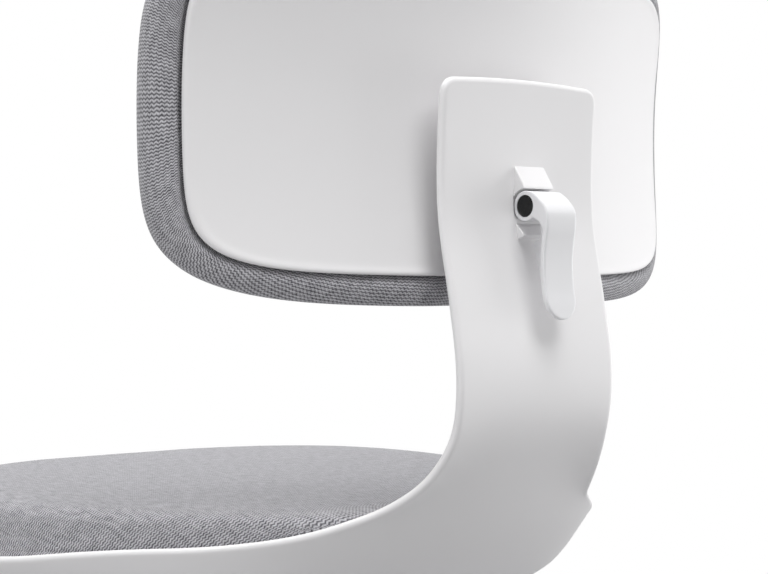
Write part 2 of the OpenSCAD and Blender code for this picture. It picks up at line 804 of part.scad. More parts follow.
module board_screws() color(steel)
    at_board_screws() {
        depth = (back_cavity + back_board_t) * cos(screw_tilt);
        translate([0, screw_head_t / 2 + loose_gap - depth, 0]) rod_y(screw_head_r, screw_head_t);
        translate([0, back_board_t - depth, 0])
            rod_y(rail_screw_r, 2 * (back_board_t - loose_gap));
    }

module back_board() color("#3a3b3d") {
    half_w = back_w / 2 - board_inset;
    half_h = back_h / 2 - board_inset;
    front = back_cavity + back_board_t;
    difference() {
        ring_solid(
            concat(
                [for (k = board_ring_shares)
                    back_ring(half_w * k, half_h * k, pad_power, back_cavity)],
                [for (i = [1:len(board_ring_shares)])
                    let (k = board_ring_shares[len(board_ring_shares) - i])
                    back_ring(half_w * k, half_h * k, pad_power, front)]),
            4,
            back_point(0, back_z, back_cavity),
            back_point(0, back_z, front));
        at_board_screws() {
            translate([0, -front * cos(screw_tilt), 0])
                rod_y(screw_head_r + loose_gap, 2 * (screw_head_t + loose_gap));
            translate([0, -back_cavity, 0]) rod_y(rail_screw_r + loose_gap, 4 * back_board_t);
        }
    }
}

module back_pad() color(fabric) {
    board_w = back_w / 2 - board_inset + soft_gap;
    board_h = back_h / 2 - board_inset + soft_gap;
    pad_w = back_w / 2 + pad_reach;
    pad_h = back_h / 2 + pad_reach * pad_tall_share;
    floor_d = back_cavity + back_board_t + soft_gap;
    front_d = back_cavity + back_board_t + pad_t;
    rings = concat(
        [for (k = board_ring_shares) back_ring(board_w * k, board_h * k, pad_power, floor_d)],
        [back_ring(board_w, board_h, pad_power, skirt_t + lip_w)],
        [back_ring(board_w + skirt_t, board_h + skirt_t, pad_power, skirt_t + soft_gap)],
        [for (p = pad_shares) let (reach = pad_reach * p[0])
            back_ring(back_w / 2 + reach, back_h / 2 + reach * pad_tall_share,
                blend(back_power, pad_power, p[0]), front_d * p[1])],
        [for (k = pad_front_shares)
            back_ring(pad_w * k, pad_h * k, pad_power, front_d - lip_t * k * k)]
    );
    ring_solid(rings, 10, back_point(0, back_z, floor_d), back_point(0, back_z, front_d));
}

module base_star() color(white)
    difference() {
        union() {
            translate([0, 0, star_bottom]) cylinder(r = star_hub_r, h = star_top - star_bottom);
            for (k = [0:arm_count - 1]) rotate(90 + 360 / arm_count * k) {
                star_arm(0);
                translate([base_reach, 0, star_bottom]) cylinder(r = tip_r, h = arm_tip_h);
            }
        }
        difference() {
            for (k = [0:arm_count - 1]) rotate(90 + 360 / arm_count * k) star_arm(arm_wall);
            translate([0, 0, star_bottom - over])
                cylinder(r = star_hub_r, h = star_top - star_bottom + 2 * over);
        }
        translate([0, 0, star_bottom - over])
            cylinder(r = column_d / 2 + run_gap, h = star_top - star_bottom + 2 * over);
        for (k = [0:arm_count - 1]) at_casters(k)
            translate([0, 0, star_bottom - over]) cylinder(r = stem_r, h = stem_depth + over);
    }

// One arm: a tapered plan cut by a sloping side view, or the hollow under it
module star_arm(wall) {
    reach = base_reach - (wall > 0 ? tip_r + wall : 0);
    rise = wall > 0 ? -over : arm_rise;
    intersection() {
        translate([0, 0, star_bottom - over]) linear_extrude(star_top) polygon([
            [0, -arm_root_w / 2 + wall], [reach, -arm_tip_w / 2 + wall],
            [reach, arm_tip_w / 2 - wall], [0, arm_root_w / 2 - wall]
        ]);
        rotate([90, 0, 0]) linear_extrude(arm_root_w, center = true) polygon([
            [0, star_bottom + rise],
            [reach, star_bottom + min(rise, 0)],
            [reach, star_bottom + arm_tip_h - wall],
            [0, star_top - wall]
        ]);
    }
}

module column_tube() color(dark)
    translate([0, 0, tube_bottom]) difference() {
        cylinder(r = column_d / 2, h = tube_h);
        translate([0, 0, end_plate_t]) cylinder(r = column_d / 2 - tube_wall, h = tube_h);
        translate([0, 0, -over]) cylinder(r = rod_r + loose_gap, h = end_plate_t + 2 * over);
    }

module guide_bush() color("#1e1f21") {
    top = tube_bottom + tube_h;
    difference() {
        union() {
            translate([0, 0, top - bush_h]) cylinder(r = column_d / 2 - tube_wall, h = bush_h);
            translate([0, 0, top]) cylinder(r = column_d / 2, h = flange_t);
        }
        translate([0, 0, top - bush_h - over])
            cylinder(r = cylinder_d / 2 + run_gap, h = bush_h + flange_t + 2 * over);
    }
}

module thrust_bearing() color(steel)
    translate([0, 0, tube_bottom + end_plate_t]) difference() {
        cylinder(r = bearing_r, h = bearing_t);
        translate([0, 0, -over]) cylinder(r = rod_r + loose_gap, h = bearing_t + 2 * over);
    }

module piston_rod() color(steel) {
    translate([0, 0, rod_foot]) cylinder(r = rod_r, h = piston_z - rod_foot);
    translate([0, 0, tube_bottom + end_plate_t + bearing_t])
        cylinder(r = rod_collar_r, h = rod_collar_t);
    translate([0, 0, piston_z])
        cylinder(r = cylinder_d / 2 - cylinder_wall - loose_gap, h = piston_t);
}

module rod_clip() color(steel)
    translate([0, 0, tube_bottom - loose_gap - clip_t]) difference() {
        cylinder(r = clip_r, h = clip_t);
        translate([0, 0, -over]) cylinder(r = rod_r, h = clip_t + 2 * over);
    }

module caster_stem(k) color(steel)
    at_casters(k) {
        translate([0, 0, stem_foot_z]) cylinder(r = stem_foot_r, h = collar_z - stem_foot_z);
        translate([0, 0, collar_z]) cylinder(r = collar_r, h = collar_t);
        translate([0, 0, collar_z])
            cylinder(r = stem_r, h = star_bottom + stem_depth - collar_z);
    }

module caster_hood(k) color(dark)
    at_casters(k) difference() {
        union() {
            along_x(web_w) difference() {
                union() {
                    translate([caster_trail, wheel_r]) circle(web_r);
                    translate([-neck_r, stem_foot_z - hood_skirt])
                        square([caster_trail + neck_r, neck_z - stem_foot_z + hood_skirt]);
                }
                translate([caster_trail + web_r / 2, neck_z - hood_skirt]) square(2 * web_r);
            }
            translate([0, 0, neck_z]) cylinder(r = neck_r, h = hood_top - neck_z);
            along_x(wheel_gap + 2 * wheel_w) hood_arc();
        }
        translate([0, 0, stem_foot_z - run_gap]) cylinder(r = stem_foot_r + run_gap, h = hood_top);
        translate([0, caster_trail, wheel_r]) rod_x(axle_r, 2 * web_w);
    }

// Thin cover over both wheels, seen from the side
module hood_arc()
    translate([caster_trail, wheel_r]) intersection() {
        difference() {
            circle(wheel_r + hood_gap + hood_t);
            circle(wheel_r + hood_gap);
        }
        translate([-2 * wheel_r, cover_front]) square([4 * wheel_r, 2 * wheel_r]);
    }

module caster_axle(k) color(steel)
    at_casters(k) translate([0, caster_trail, wheel_r])
        rod_x(axle_r, wheel_gap + 2 * wheel_w - 2 * collar_t);

// side is 1 for the wheel on +X and -1 for the other
module caster_wheel(k, side) color(dark)
    at_casters(k) translate([0, caster_trail, wheel_r])
        rotate([0, 90 * side, 0]) translate([0, 0, wheel_gap / 2]) rotate_extrude() difference() {
            union() {
                translate([axle_r + run_gap, 0])
                    square([wheel_r - wheel_edge_r - axle_r - run_gap, wheel_w]);
                translate([axle_r + run_gap, wheel_edge_r])
                    square([wheel_r - axle_r - run_gap, wheel_w - 2 * wheel_edge_r]);
                for (z = [wheel_edge_r, wheel_w - wheel_edge_r])
                    translate([wheel_r - wheel_edge_r, z]) circle(wheel_edge_r);
            }
            translate([wheel_hub_r, wheel_w - wheel_dish])
                square([wheel_r - wheel_edge_r - wheel_hub_r - wheel_dish / 2, wheel_dish + over]);
        }

base_star();
column_tube();
guide_bush();
thrust_bearing();
piston_rod();
rod_clip();
gas_cylinder();
rod_seal();
mechanism_body();
mechanism_bolts();
release_pin();
height_lever();
height_grip();
lever_pivot();
frame_shell();
seat_board();
seat_cushion();
draw_bolt();
clamp_nut();
clamp_pin();
clamp_lever();
clamp_caps();
back_rail();
rail_screws();
back_shell();
back_board();
board_screws();
back_pad();
caster_stem(0);  // caster1_stem
caster_hood(0);  // caster1_hood
caster_axle(0);  // caster1_axle
caster_wheel(0, 1);  // caster1_wheel_l
caster_wheel(0, -1);  // caster1_wheel_r
caster_stem(1);  // caster2_stem
caster_hood(1);  // caster2_hood
caster_axle(1);  // caster2_axle
caster_wheel(1, 1);  // caster2_wheel_l
caster_wheel(1, -1);  // caster2_wheel_r
caster_stem(2);  // caster3_stem
caster_hood(2);  // caster3_hood
caster_axle(2);  // caster3_axle
caster_wheel(2, 1);  // caster3_wheel_l
caster_wheel(2, -1);  // caster3_wheel_r
caster_stem(3);  // caster4_stem
caster_hood(3);  // caster4_hood
caster_axle(3);  // caster4_axle
caster_wheel(3, 1);  // caster4_wheel_l
caster_wheel(3, -1);  // caster4_wheel_r
caster_stem(4);  // caster5_stem
caster_hood(4);  // caster5_hood
caster_axle(4);  // caster5_axle
caster_wheel(4, 1);  // caster5_wheel_l
caster_wheel(4, -1);  // caster5_wheel_r
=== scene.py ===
"""Office chair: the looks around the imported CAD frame, laid out as a Blender add-on."""
import json
import math

import bpy
from mathutils import Matrix, Vector
from mathutils.bvhtree import BVHTree


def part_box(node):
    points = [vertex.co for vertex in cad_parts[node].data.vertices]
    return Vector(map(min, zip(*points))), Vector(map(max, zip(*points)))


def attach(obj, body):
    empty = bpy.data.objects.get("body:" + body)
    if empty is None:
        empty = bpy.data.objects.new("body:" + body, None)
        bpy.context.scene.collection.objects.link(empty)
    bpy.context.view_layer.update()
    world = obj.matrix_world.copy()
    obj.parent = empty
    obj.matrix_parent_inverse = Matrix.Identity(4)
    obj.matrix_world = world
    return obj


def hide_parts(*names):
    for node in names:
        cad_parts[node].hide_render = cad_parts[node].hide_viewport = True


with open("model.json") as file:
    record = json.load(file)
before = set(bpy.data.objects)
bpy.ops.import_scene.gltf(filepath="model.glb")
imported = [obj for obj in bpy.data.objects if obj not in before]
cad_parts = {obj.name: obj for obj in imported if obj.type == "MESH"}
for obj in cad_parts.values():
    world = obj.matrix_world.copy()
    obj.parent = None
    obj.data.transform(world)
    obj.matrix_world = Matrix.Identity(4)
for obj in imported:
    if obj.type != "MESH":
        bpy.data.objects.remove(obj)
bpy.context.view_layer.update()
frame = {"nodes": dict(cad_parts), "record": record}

bl_info = {
    "name": "Office chair",
    "version": (1, 0, 0),
    "blender": (4, 5, 0),
    "location": "3D view > Sidebar > Chair",
    "description": "Builds the visible pieces of a small office chair around its CAD frame",
    "category": "Object",
}

MM = 0.001
# The body that carries each CAD node
BODY_OF = {
    node: body for body, nodes in frame["record"]["behaviour"]["bodies"].items() for node in nodes}

# Camera, fitted to the outlines of the post, the shell and the cushions: its place in
# metres, its right and up directions, and its focal length in pixels of the frame
CAMERA_PLACE = (0.8239, 1.0178, 0.615)
CAMERA_RIGHT = Vector((-0.73659, 0.67626, 0.01014))
CAMERA_UP = Vector((-0.00491, -0.02034, 0.99978))
FOCAL_LENGTH, FRAME_WIDTH, SENSOR_WIDTH = 1957.6, 768, 36

# Lamps, all turned to one point of the back rest: name, place, side in metres, watts
LAMP_AIM = Vector((0, 0.1, 0.55))
LAMPS = (
    ("overhead box", (0.2, 0.0, 2.6), 1.8, 45.0),
    ("box above the back", (0.0, 1.2, 2.2), 1.0, 15.5),
    ("side box", (-2.4, 0.6, 1.2), 1.5, 7.5),
    ("low side box", (-1.8, 0.9, 0.2), 1.2, 16.0),
    ("low fill box", (1.6, 0.2, 0.2), 1.0, 9.0),
)
ROOM_LIGHT = 0.35
# Floor: its radius, where it starts and ends to fade, its tone, and the tone that it
# throws back, which is darker, as of a floor in a large dim room
FLOOR_RADIUS, FADE_START, FADE_END = 1.6, 0.45, 1.5
FLOOR_TONE, FLOOR_BOUNCE = "#F1F1F2", "#9C9C9D"

WHITE = (1, 1, 1, 1)

# Noise scales in waves per metre: broad patches of a moulding; the knit's wandering
# yarn, its dyed lengths and its flecks. How far a grain swings the gloss
PATCH_SCALE, WANDER_SCALE, DYED_SCALE, FLECK_SCALE, GLOSS_SWING = 14.0, 190.0, 330.0, 800.0, 0.05

# All sizes from here on are in millimetres

# Depths of a moulded grain and of the knit's stitches
GRAIN_DEPTH, YARN_DEPTH = 0.03, 0.4

# Moulded sheet: per station the spine's y and z, the rim's way out from the post's
# side to the seat's side, and the rim's y and z, all as shares of the sheet's sizes
STATION_SHARES = (
    (-0.200, 0.000, 1.000, -0.200, 0.087),
    (0.089, 0.000, 0.959, 0.089, 0.098),
    (0.326, 0.000, 0.869, 0.308, 0.123),
    (0.522, 0.006, 0.756, 0.470, 0.139),
    (0.673, 0.008, 0.645, 0.606, 0.149),
    (0.794, 0.061, 0.505, 0.721, 0.159),
    (0.891, 0.123, 0.367, 0.817, 0.173),
    (0.961, 0.190, 0.239, 0.881, 0.193),
    (1.011, 0.252, 0.139, 0.929, 0.212),
    (1.050, 0.304, 0.071, 0.990, 0.244),
    (1.079, 0.348, 0.027, 1.044, 0.289),
    (1.099, 0.396, 0.001, 1.087, 0.351),
    (1.106, 0.448, 0.000, 1.104, 0.419),
    (1.100, 0.502, 0.000, 1.101, 0.494),
    (1.086, 0.559, 0.000, 1.086, 0.559),
    (1.069, 0.622, 0.000, 1.069, 0.622),
    (1.049, 0.686, 0.000, 1.049, 0.686),
    (1.034, 0.746, 0.000, 1.034, 0.746),
    (1.028, 0.806, 0.000, 1.028, 0.806),
    (1.028, 0.867, 0.000, 1.028, 0.867),
    (1.031, 0.933, 0.000, 1.031, 0.933),
    (1.037, 1.000, 0.000, 1.037, 1.000),
)
LAST_STATION = len(STATION_SHARES) - 1
# Width, rear and front reach and height of the seat pan; the post and the sheet
SEAT_W, SEAT_REAR, SEAT_FRONT, PAN_H = 448, 230, 201, 399
POST_RISE, POST_W, SHEET_T, POST_CORNER, POST_ARCH, TOP_OVER = 315, 128, 5.4, 9, 2.4, 0.6
WIDEST_Y = 0.2 * SEAT_REAR
FRONT_RIM_SHARE, FRONT_POWER, FLAT_SHARE, WALL_POWER = 0.078, 2.2, 0.4, 3.5
ROOT_SHARE, ARCH_POWER = 0.2, 8
# Rows of the sheet's mesh: plan angles round the front, drops from the post's top
FRONT_ANGLES = (80, 74, 68, 62, 56, 50, 44, 37, 30, 23, 16, 8)
TOP_DROPS = (
    POST_CORNER + 6, POST_CORNER + 2.5, POST_CORNER, 7.1, 6.2, 5.3, 4.5, 3.8, 3.3, 2.9, SHEET_T / 2,
)
# Columns on each side of the sheet's middle, faces round its edge, halvings in a search
SHEET_COLUMNS, EDGE_ARCS, SEARCH_TURNS = 18, 6, 40
# Bolts of the mechanism, through the pan; the draw bolt's hole is as wide
BOLT_X, BOLT_Y, BOLT_HOLE_R = (-58, 58), (-72, 36), 3.3

# Clamp, its outlines as (y, z) from the pivot
PIVOT = Vector((-7.2, 245.141, 641.7))
POST_BACK_Y = 237.041
CLAMP_W, BARREL_R, CRADLE_R, CAP_R, CAP_T = 25, 8.7, 10.3, 6.2, 2
PIN_HOLE_R, EYE_R, EYE_HALF = 3.05, 5.3, 3.5
LEVER_OUT, LEVER_DROP, STRAP_T = 17.7, 65, 3.6
# The two wedges that hold the barrel, from the post's rear face
WEDGES = (
    ((-2, 24.4), (0, 22.4), (7.5, 11.2), (7.5, 9.6), (0, 1.5), (-2, 1.5)),
    ((-2, -8.7), (0, -8.7), (7.5, -16.3), (7.5, -17.3), (0, -19.8), (-2, -19.8)),
)
# Room for the draw bolt while the lever swings
BOLT_SWEEP = ((0, -3.3), (-17.4, -3.3), (-17.4, 17.4), (-9.3, 15.3), (2.1, 2.1))
# Rib under the strap, and the lever's rear outline, as shares of its reach and drop
RIB_T = 4
RIB_SHARES = (
    (0.158, -0.080), (0.158, -0.290), (-0.170, -0.317), (-0.017, -0.475), (0.164, -0.652),
    (0.690, -0.762), (0.800, -0.700), (0.750, -0.460), (0.840, -0.215), (0.700, -0.100),
)
LEVER_SHARES = (
    (0.090, 0.090), (0.215, 0.131), (0.400, 0.110), (0.600, 0.072), (0.780, 0.028),
    (0.905, -0.015), (0.980, -0.062), (1.000, -0.125), (0.980, -0.215), (0.920, -0.320),
    (0.880, -0.460), (0.895, -0.600), (0.955, -0.740), (1.055, -0.870), (1.130, -1.000),
)

# Back rest: its shell's size and middle, its bows and the powers of its outlines
BACK_W, BACK_H, BACK_Y, BACK_Z = 386.6, 176.2, 222.2, 693
PLAN_R, BOW_R, TOP_BOW_R, SADDLE_Z, BACK_POWER, PAD_POWER = 387, 500, 320, 698, 6.8, 5.2
# How much squarer than the upper corners the lower ones are
CORNER_LEAN = 0.4
BACK_SWELL, BACK_WALL, BOARD_INSET, BACK_FLAT = 2.5, 3, 20, 22.2
# The shell's rolled lip: how far it stands out past the outline, the points round it,
# and its section: inset from there, and depth
LIP_REACH, SHELL_SIDES = 0.9, 128
LIP_SECTION = (
    (9, 0), (5.5, 0), (3.8, -0.1), (2.6, -0.32), (1.6, -0.44), (0.7, -0.36), (0.1, -0.05),
    (-0.3, 0.5), (-0.4, 1.3), (-0.4, 2.4), (-0.1, 2.9), (0.6, 3.1), (2.4, 3.1), (4.2, 3.1),
    (6.5, 3.05), (9, BACK_WALL),
)
# Slot of the draw bolt in the shell: half width, and reach under and over the pivot
SLOT_HALF, SLOT_UNDER, SLOT_OVER = 3.3, 13.3, 53.3

# Back pad: its reach past the shell, at the sides and as a share of that above and
# below, the depths of its floor and of its front, and the points round it
PAD_REACH, PAD_TALL_SHARE, PAD_FLOOR, PAD_FACE, PAD_SIDES = 15.3, 1.27, 15.6, 38.8, 144
# Section of its rolled edge: share of the reach, and depth
PAD_EDGE = (
    (0.18, 3.3), (0.36, 2.1), (0.56, 1.8), (0.76, 1.9), (0.90, 3.0), (0.97, 5.0), (1.0, 8.0),
    (0.99, 11.5), (0.92, 15.5), (0.84, 19.5), (0.72, 23.5), (0.55, 27.2), (0.33, 30.5),
    (0.05, 33.4), (-0.35, 35.8),
)
# How far the edge leans forwards above and below, from ring LEAN_RING on
LEAN_RING, EDGE_LEAN = 11, (2.2, 4.4, 5.8, 6.2, 6.0, 5.0, 3.5, 2.0, 1.0, 0.4)
# Shares of the front's size at its inner rings
PAD_FRONT = (0.97, 0.9, 0.8, 0.68, 0.55, 0.42, 0.28, 0.14)
# Rings of its cover, from the board round the rolled edge, that are stapled down
HELD_RINGS = 14

# Seat cushion: the gap under soft pieces, the share of the pan's width that it fills,
# its last row on the post's side, its crest over the pan and the crest's own crown
SOFT_GAP, CUSHION_SHARE, CUSHION_LAST, CREST_RISE, CREST_CROWN = 0.8, 0.96, 6.7, 65.8, 0.6
# Columns on each side of its middle, turns that round its plan, front row's plan angle
CUSHION_COLUMNS, PLAN_TURNS, COVER_FRONT = 22, 6, 76
# The board under it: top over the pan, its plan as shares of the seat's, and how far
# out, in boards, the cushion keeps above that top
BOARD_TOP, BOARD_SHARE, BOARD_REAR_SHARE, BOARD_EDGE = SHEET_T + 0.3 + 8, 0.5, 0.42, 1.4
# Side of the cushion: way out, and share of the rise, up to the flat top
CUSHION_SIDE = (
    (1.2, 0.05), (1.8, 0.12), (2.1, 0.18), (2.15, 0.205), (2.2, 0.23), (2.3, 0.29), (2.3, 0.39),
    (2.0, 0.53), (1.3, 0.66), (0.1, 0.77), (-2.0, 0.86), (-5.4, 0.93), (-10.3, 0.97),
    (-17, 0.99), (-27, 1.0),
)
CUSHION_TOP = (0.86, 0.72, 0.58, 0.44, 0.30, 0.16)
# Ring of the cushion's side that the seam follows, and the seam's depth
SEAM_RING, SEAM_DEPTH = 4, 1.0

# Cloth: pressure, frames, and the turns that even out the swelling; and how strongly
# the knit's columns keep upright where the cover turns a corner
PRESSURE, CLOTH_FRAMES, EVEN_TURNS = 4.0, 20, 24
COLUMN_PULL = 0.35

# Hub cover of a caster's wheel, half section: radius, and depth in from the wheel's face
HUB_SECTION = (
    (0, 3.4), (4, 3.4), (6.2, 2.9), (7.4, 1.9), (8.2, 1.4), (15.6, 1.4), (17.2, 2.0), (18.3, 3.2),
    (18.4, 4.9), (0, 4.9),
)


def blend(a, b, k):
    """From a to b, by a share k."""
    return a + (b - a) * k


def spline_at(rows, s):
    """Point at s rows along a smooth curve through the rows."""
    i = min(int(s), len(rows) - 2)
    f = s - i
    near = [rows[max(0, min(len(rows) - 1, i + k))] for k in (-1, 0, 1, 2)]
    return [
        (2 * b + (c - a) * f + (2 * a - 5 * b + 4 * c - d) * f * f
         + (3 * b - a - 3 * c + d) * f ** 3) / 2
        for a, b, c, d in zip(*near)
    ]


def gathered(steps):
    """Shares from -1 to 1, closer together towards both ends."""
    return [0.55 * j / steps + 0.45 * math.sin(math.pi / 2 * j / steps)
            for j in range(-steps, steps + 1)]


def grid_rim(count, wide):
    """Points round the rim of a grid of count rows, in order."""
    return (list(range(wide)) + [i * wide + wide - 1 for i in range(1, count)]
            + [(count - 1) * wide + j for j in range(wide - 2, -1, -1)]
            + [i * wide for i in range(count - 2, 0, -1)])


def at_pivot(outline):
    """Outline of (y, z) points from the pivot, moved to its place."""
    return [(PIVOT.y + y, PIVOT.z + z) for y, z in outline]


def wall_rise(t):
    """Share of the pan's rise at a share of the way out to its rim."""
    return max(0.0, (t - FLAT_SHARE) / (1 - FLAT_SHARE)) ** WALL_POWER


def sheet_point(row, t):
    """Point of the sheet's outer face: row is ("front", plan angle) or ("rear", station)."""
    part, s = row
    if part == "front":
        sine = math.sin(math.radians(s))
        out = (1 - sine ** FRONT_POWER) ** (1 / FRONT_POWER)
        rho = ((abs(t) * out) ** FRONT_POWER + sine ** FRONT_POWER) ** (1 / FRONT_POWER)
        rim = POST_RISE * blend(STATION_SHARES[0][4], FRONT_RIM_SHARE, sine)
        y = -WIDEST_Y - (SEAT_FRONT - WIDEST_Y) * sine
        return Vector((t * out * SEAT_W / 2, y, PAN_H + rim * wall_rise(rho)))
    r = spline_at(STATION_SHARES, s)
    rise = max(r[1], 0)
    half = POST_W / 2 + r[2] * (SEAT_W - POST_W) / 2
    # The pan's steep rim turns into a plain dish where the pan runs up into the post
    dish = blend(wall_rise(abs(t)), t * t, min(1, rise / ROOT_SHARE))
    z = PAN_H + POST_RISE * blend(rise, r[4], dish) - POST_ARCH * rise ** ARCH_POWER * t * t
    return Vector((t * half, SEAT_REAR * blend(r[0], r[3], t * t), z))


def sheet_normal(row, t):
    """Unit normal of the sheet, towards the sitter."""
    part, s = row
    step, t = 0.01, max(-0.999, min(0.999, t))
    u = sheet_point(row, t + 0.001) - sheet_point(row, t - 0.001)
    if part == "front":
        v = sheet_point((part, max(s - step, 0)), t) - sheet_point((part, s + step), t)
    else:
        high = min(s + step, LAST_STATION)
        v = sheet_point((part, high), t) - sheet_point((part, max(high - 2 * step, 0)), t)
    return u.cross(v).normalized()


def bow_at(x, z):
    """Share of the back's upright bow: none on the flat strip behind the post."""
    k = max(0.0, min(1.0, (abs(x) - BACK_FLAT) / (POST_W / 2 - BACK_FLAT)))
    return 1.0 if z > SADDLE_Z else k * k * (3 - 2 * k)


def back_point(x, z, depth):
    """Point of the saddle-shaped back, a depth in front of the shell's rear face."""
    bow = TOP_BOW_R if z > SADDLE_Z else BOW_R
    y = BACK_Y - x * x / (2 * PLAN_R) + bow_at(x, z) * (z - SADDLE_Z) ** 2 / (2 * bow)
    return Vector((x, y - depth, z))


def back_outline(w, h, power, sides):
    """Points (x, z) of the back's rounded outline, gathered at its corners."""
    points = []
    for k in range(sides):
        u = 4 * k / sides
        a = math.radians(90 * (u + 0.6 * math.sin(2 * math.pi * (u % 1)) / (2 * math.pi)))
        c, s = math.cos(a), math.sin(a)
        lean = power - CORNER_LEAN * s
        q = (abs(c) ** lean + abs(s) ** lean) ** (-1 / lean)
        swell = BACK_SWELL * h / BACK_H * 2 * (1 - (c * q) ** 2)
        points.append((w * c * q, BACK_Z + (h + swell) * s * q))
    return points


# Mesh helpers

def only(piece):
    """Makes a piece the one selected and active object."""
    bpy.ops.object.select_all(action="DESELECT")
    piece.select_set(True)
    bpy.context.view_layer.objects.active = piece


def mesh_piece(name, points, faces):
    """New object from points in millimetres."""
    mesh = bpy.data.meshes.new(name)
    mesh.from_pydata([Vector(p) * MM for p in points], [], faces)
    piece = bpy.data.objects.new(name, mesh)
    bpy.context.scene.collection.objects.link(piece)
    only(piece)
    return piece


def modify(piece, kind, **settings):
    """Adds a modifier, sets it and applies it."""
    only(piece)
    modifier = piece.modifiers.new(kind.title(), kind)
    for key, value in settings.items():
        setattr(modifier, key, value)
    bpy.ops.object.modifier_apply(modifier=modifier.name)


def bevel(piece, width, segments, angle, **more):
    """Rounds the edges that are sharper than an angle in degrees."""
    modify(piece, "BEVEL", width=width * MM, segments=segments, limit_method="ANGLE",
           angle_limit=math.radians(angle), **more)


def edit(piece, *steps):
    """Runs mesh operations, each with its settings, on the whole of a piece."""
    only(piece)
    bpy.ops.object.mode_set(mode="EDIT")
    bpy.ops.mesh.select_all(action="SELECT")
    for operation, settings in steps:
        operation(**settings)
    bpy.ops.object.mode_set(mode="OBJECT")


def outwards(piece):
    """Merges doubles and turns all faces outwards."""
    edit(piece, (bpy.ops.mesh.remove_doubles, {"threshold": 1e-6}),
         (bpy.ops.mesh.normals_make_consistent, {"inside": False}))


def smooth(piece, angle=35):
    """Shades smooth, apart from edges sharper than an angle in degrees."""
    only(piece)
    bpy.ops.object.shade_smooth_by_angle(angle=math.radians(angle))


def flow(piece, grain, turns):
    """Gives a piece a fine even grid of faces and lets its edges flow round, as moulded."""
    modify(piece, "REMESH", mode="VOXEL", voxel_size=grain * MM)
    modify(piece, "SMOOTH", factor=0.5, iterations=turns)


def combine(piece, tool, operation):
    """Cuts with, or unites with, another closed mesh, which is then deleted."""
    modify(piece, "BOOLEAN", operation=operation, object=tool, solver="EXACT")
    bpy.data.objects.remove(tool, do_unlink=True)


def joined(name, pieces):
    """Pieces made one."""
    only(pieces[0])
    for piece in pieces:
        piece.select_set(True)
    bpy.ops.object.join()
    pieces[0].name = pieces[0].data.name = name
    return pieces[0]


def settle(piece):
    """Applies place, turn and scale, so that the object sits at the origin."""
    only(piece)
    bpy.ops.object.transform_apply(location=True, rotation=True, scale=True)


def rod(radius, length, at, axis="Z", vertices=48):
    """Cylinder with its middle at a point."""
    turn = {"X": (0, math.pi / 2, 0), "Y": (math.pi / 2, 0, 0), "Z": (0, 0, 0)}[axis]
    bpy.ops.object.select_all(action="DESELECT")
    bpy.ops.mesh.primitive_cylinder_add(
        radius=radius * MM, depth=length * MM, vertices=vertices,
        location=Vector(at) * MM, rotation=turn)
    piece = bpy.context.object
    settle(piece)
    return piece


def slab(low, high):
    """Box between two corners."""
    x0, y0, z0 = low
    x1, y1, z1 = high
    points = [(x, y, z) for x in (x0, x1) for y in (y0, y1) for z in (z0, z1)]
    faces = [(0, 1, 3, 2), (4, 6, 7, 5), (0, 4, 5, 1), (2, 3, 7, 6), (0, 2, 6, 4), (1, 5, 7, 3)]
    piece = mesh_piece("slab", points, faces)
    outwards(piece)
    return piece


def extruded(name, outline, move):
    """Flat outline pulled along a move into a closed solid."""
    piece = mesh_piece(name, outline, [tuple(range(len(outline)))])
    move = {"value": tuple(c * MM for c in move)}
    edit(piece, (bpy.ops.mesh.extrude_region_move, {"TRANSFORM_OT_translate": move}))
    outwards(piece)
    return piece


def prism_x(name, outline, x0, x1):
    """Outline of (y, z) points pulled from x0 to x1."""
    return extruded(name, [(x0, y, z) for y, z in outline], (x1 - x0, 0, 0))


def turned(name, profile, steps):
    """Closed (radius, z) profile turned round the vertical axis."""
    count = len(profile)
    points = [Vector((r, 0, z)) * MM for r, z in profile]
    mesh = bpy.data.meshes.new(name)
    mesh.from_pydata(points, [(k, (k + 1) % count) for k in range(count)], [])
    piece = bpy.data.objects.new(name, mesh)
    bpy.context.scene.collection.objects.link(piece)
    modify(piece, "SCREW", angle=2 * math.pi, steps=steps, render_steps=steps,
           use_merge_vertices=True, merge_threshold=1e-5, use_smooth_shade=False)
    outwards(piece)
    return piece


def refined(name, node, radius):
    """Copy of a CAD node, merged, cleaned of flat triangles and given rounded edges."""
    source = frame["nodes"][node]
    piece = bpy.data.objects.new(name, source.data.copy())
    bpy.context.scene.collection.objects.link(piece)
    piece.data.materials.clear()
    edit(piece, (bpy.ops.mesh.remove_doubles, {"threshold": 2e-5}),
         (bpy.ops.mesh.dissolve_limited, {"angle_limit": math.radians(1.5)}))
    bevel(piece, radius, 3, 38, use_clamp_overlap=True, miter_outer="MITER_ARC")
    smooth(piece)
    return piece


def settle_in(piece, body, slot, material, *nodes):
    """Gives a finished piece its material and body; it stands for the nodes. The slot is not used.
    """
    piece.data.materials.clear()
    piece.data.materials.append(bpy.data.materials[material])
    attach(piece, body)
    if nodes:
        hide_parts(*nodes)


def rounded(name, node, radius):
    """Rounded copy of a CAD node, with the node's own body and material."""
    material = frame["nodes"][node].material_slots[0].material.name
    slot = next(p["material_slot"] for p in frame["record"]["subparts"] if p["node"] == node)
    settle_in(refined(name, node, radius), BODY_OF[node], slot, material, node)


# Material helpers

def linear(colour):
    """sRGB hex to a linear colour."""
    parts = [int(colour[k:k + 2], 16) / 255 for k in (1, 3, 5)]
    return [c / 12.92 if c <= 0.04045 else ((c + 0.055) / 1.055) ** 2.4 for c in parts] + [1.0]


def feed(node, inputs):
    """Sets a node's inputs, each to a socket or a value."""
    for key, value in inputs.items():
        if isinstance(value, bpy.types.NodeSocket):
            node.id_data.links.new(value, node.inputs[key])
        else:
            node.inputs[key].default_value = value


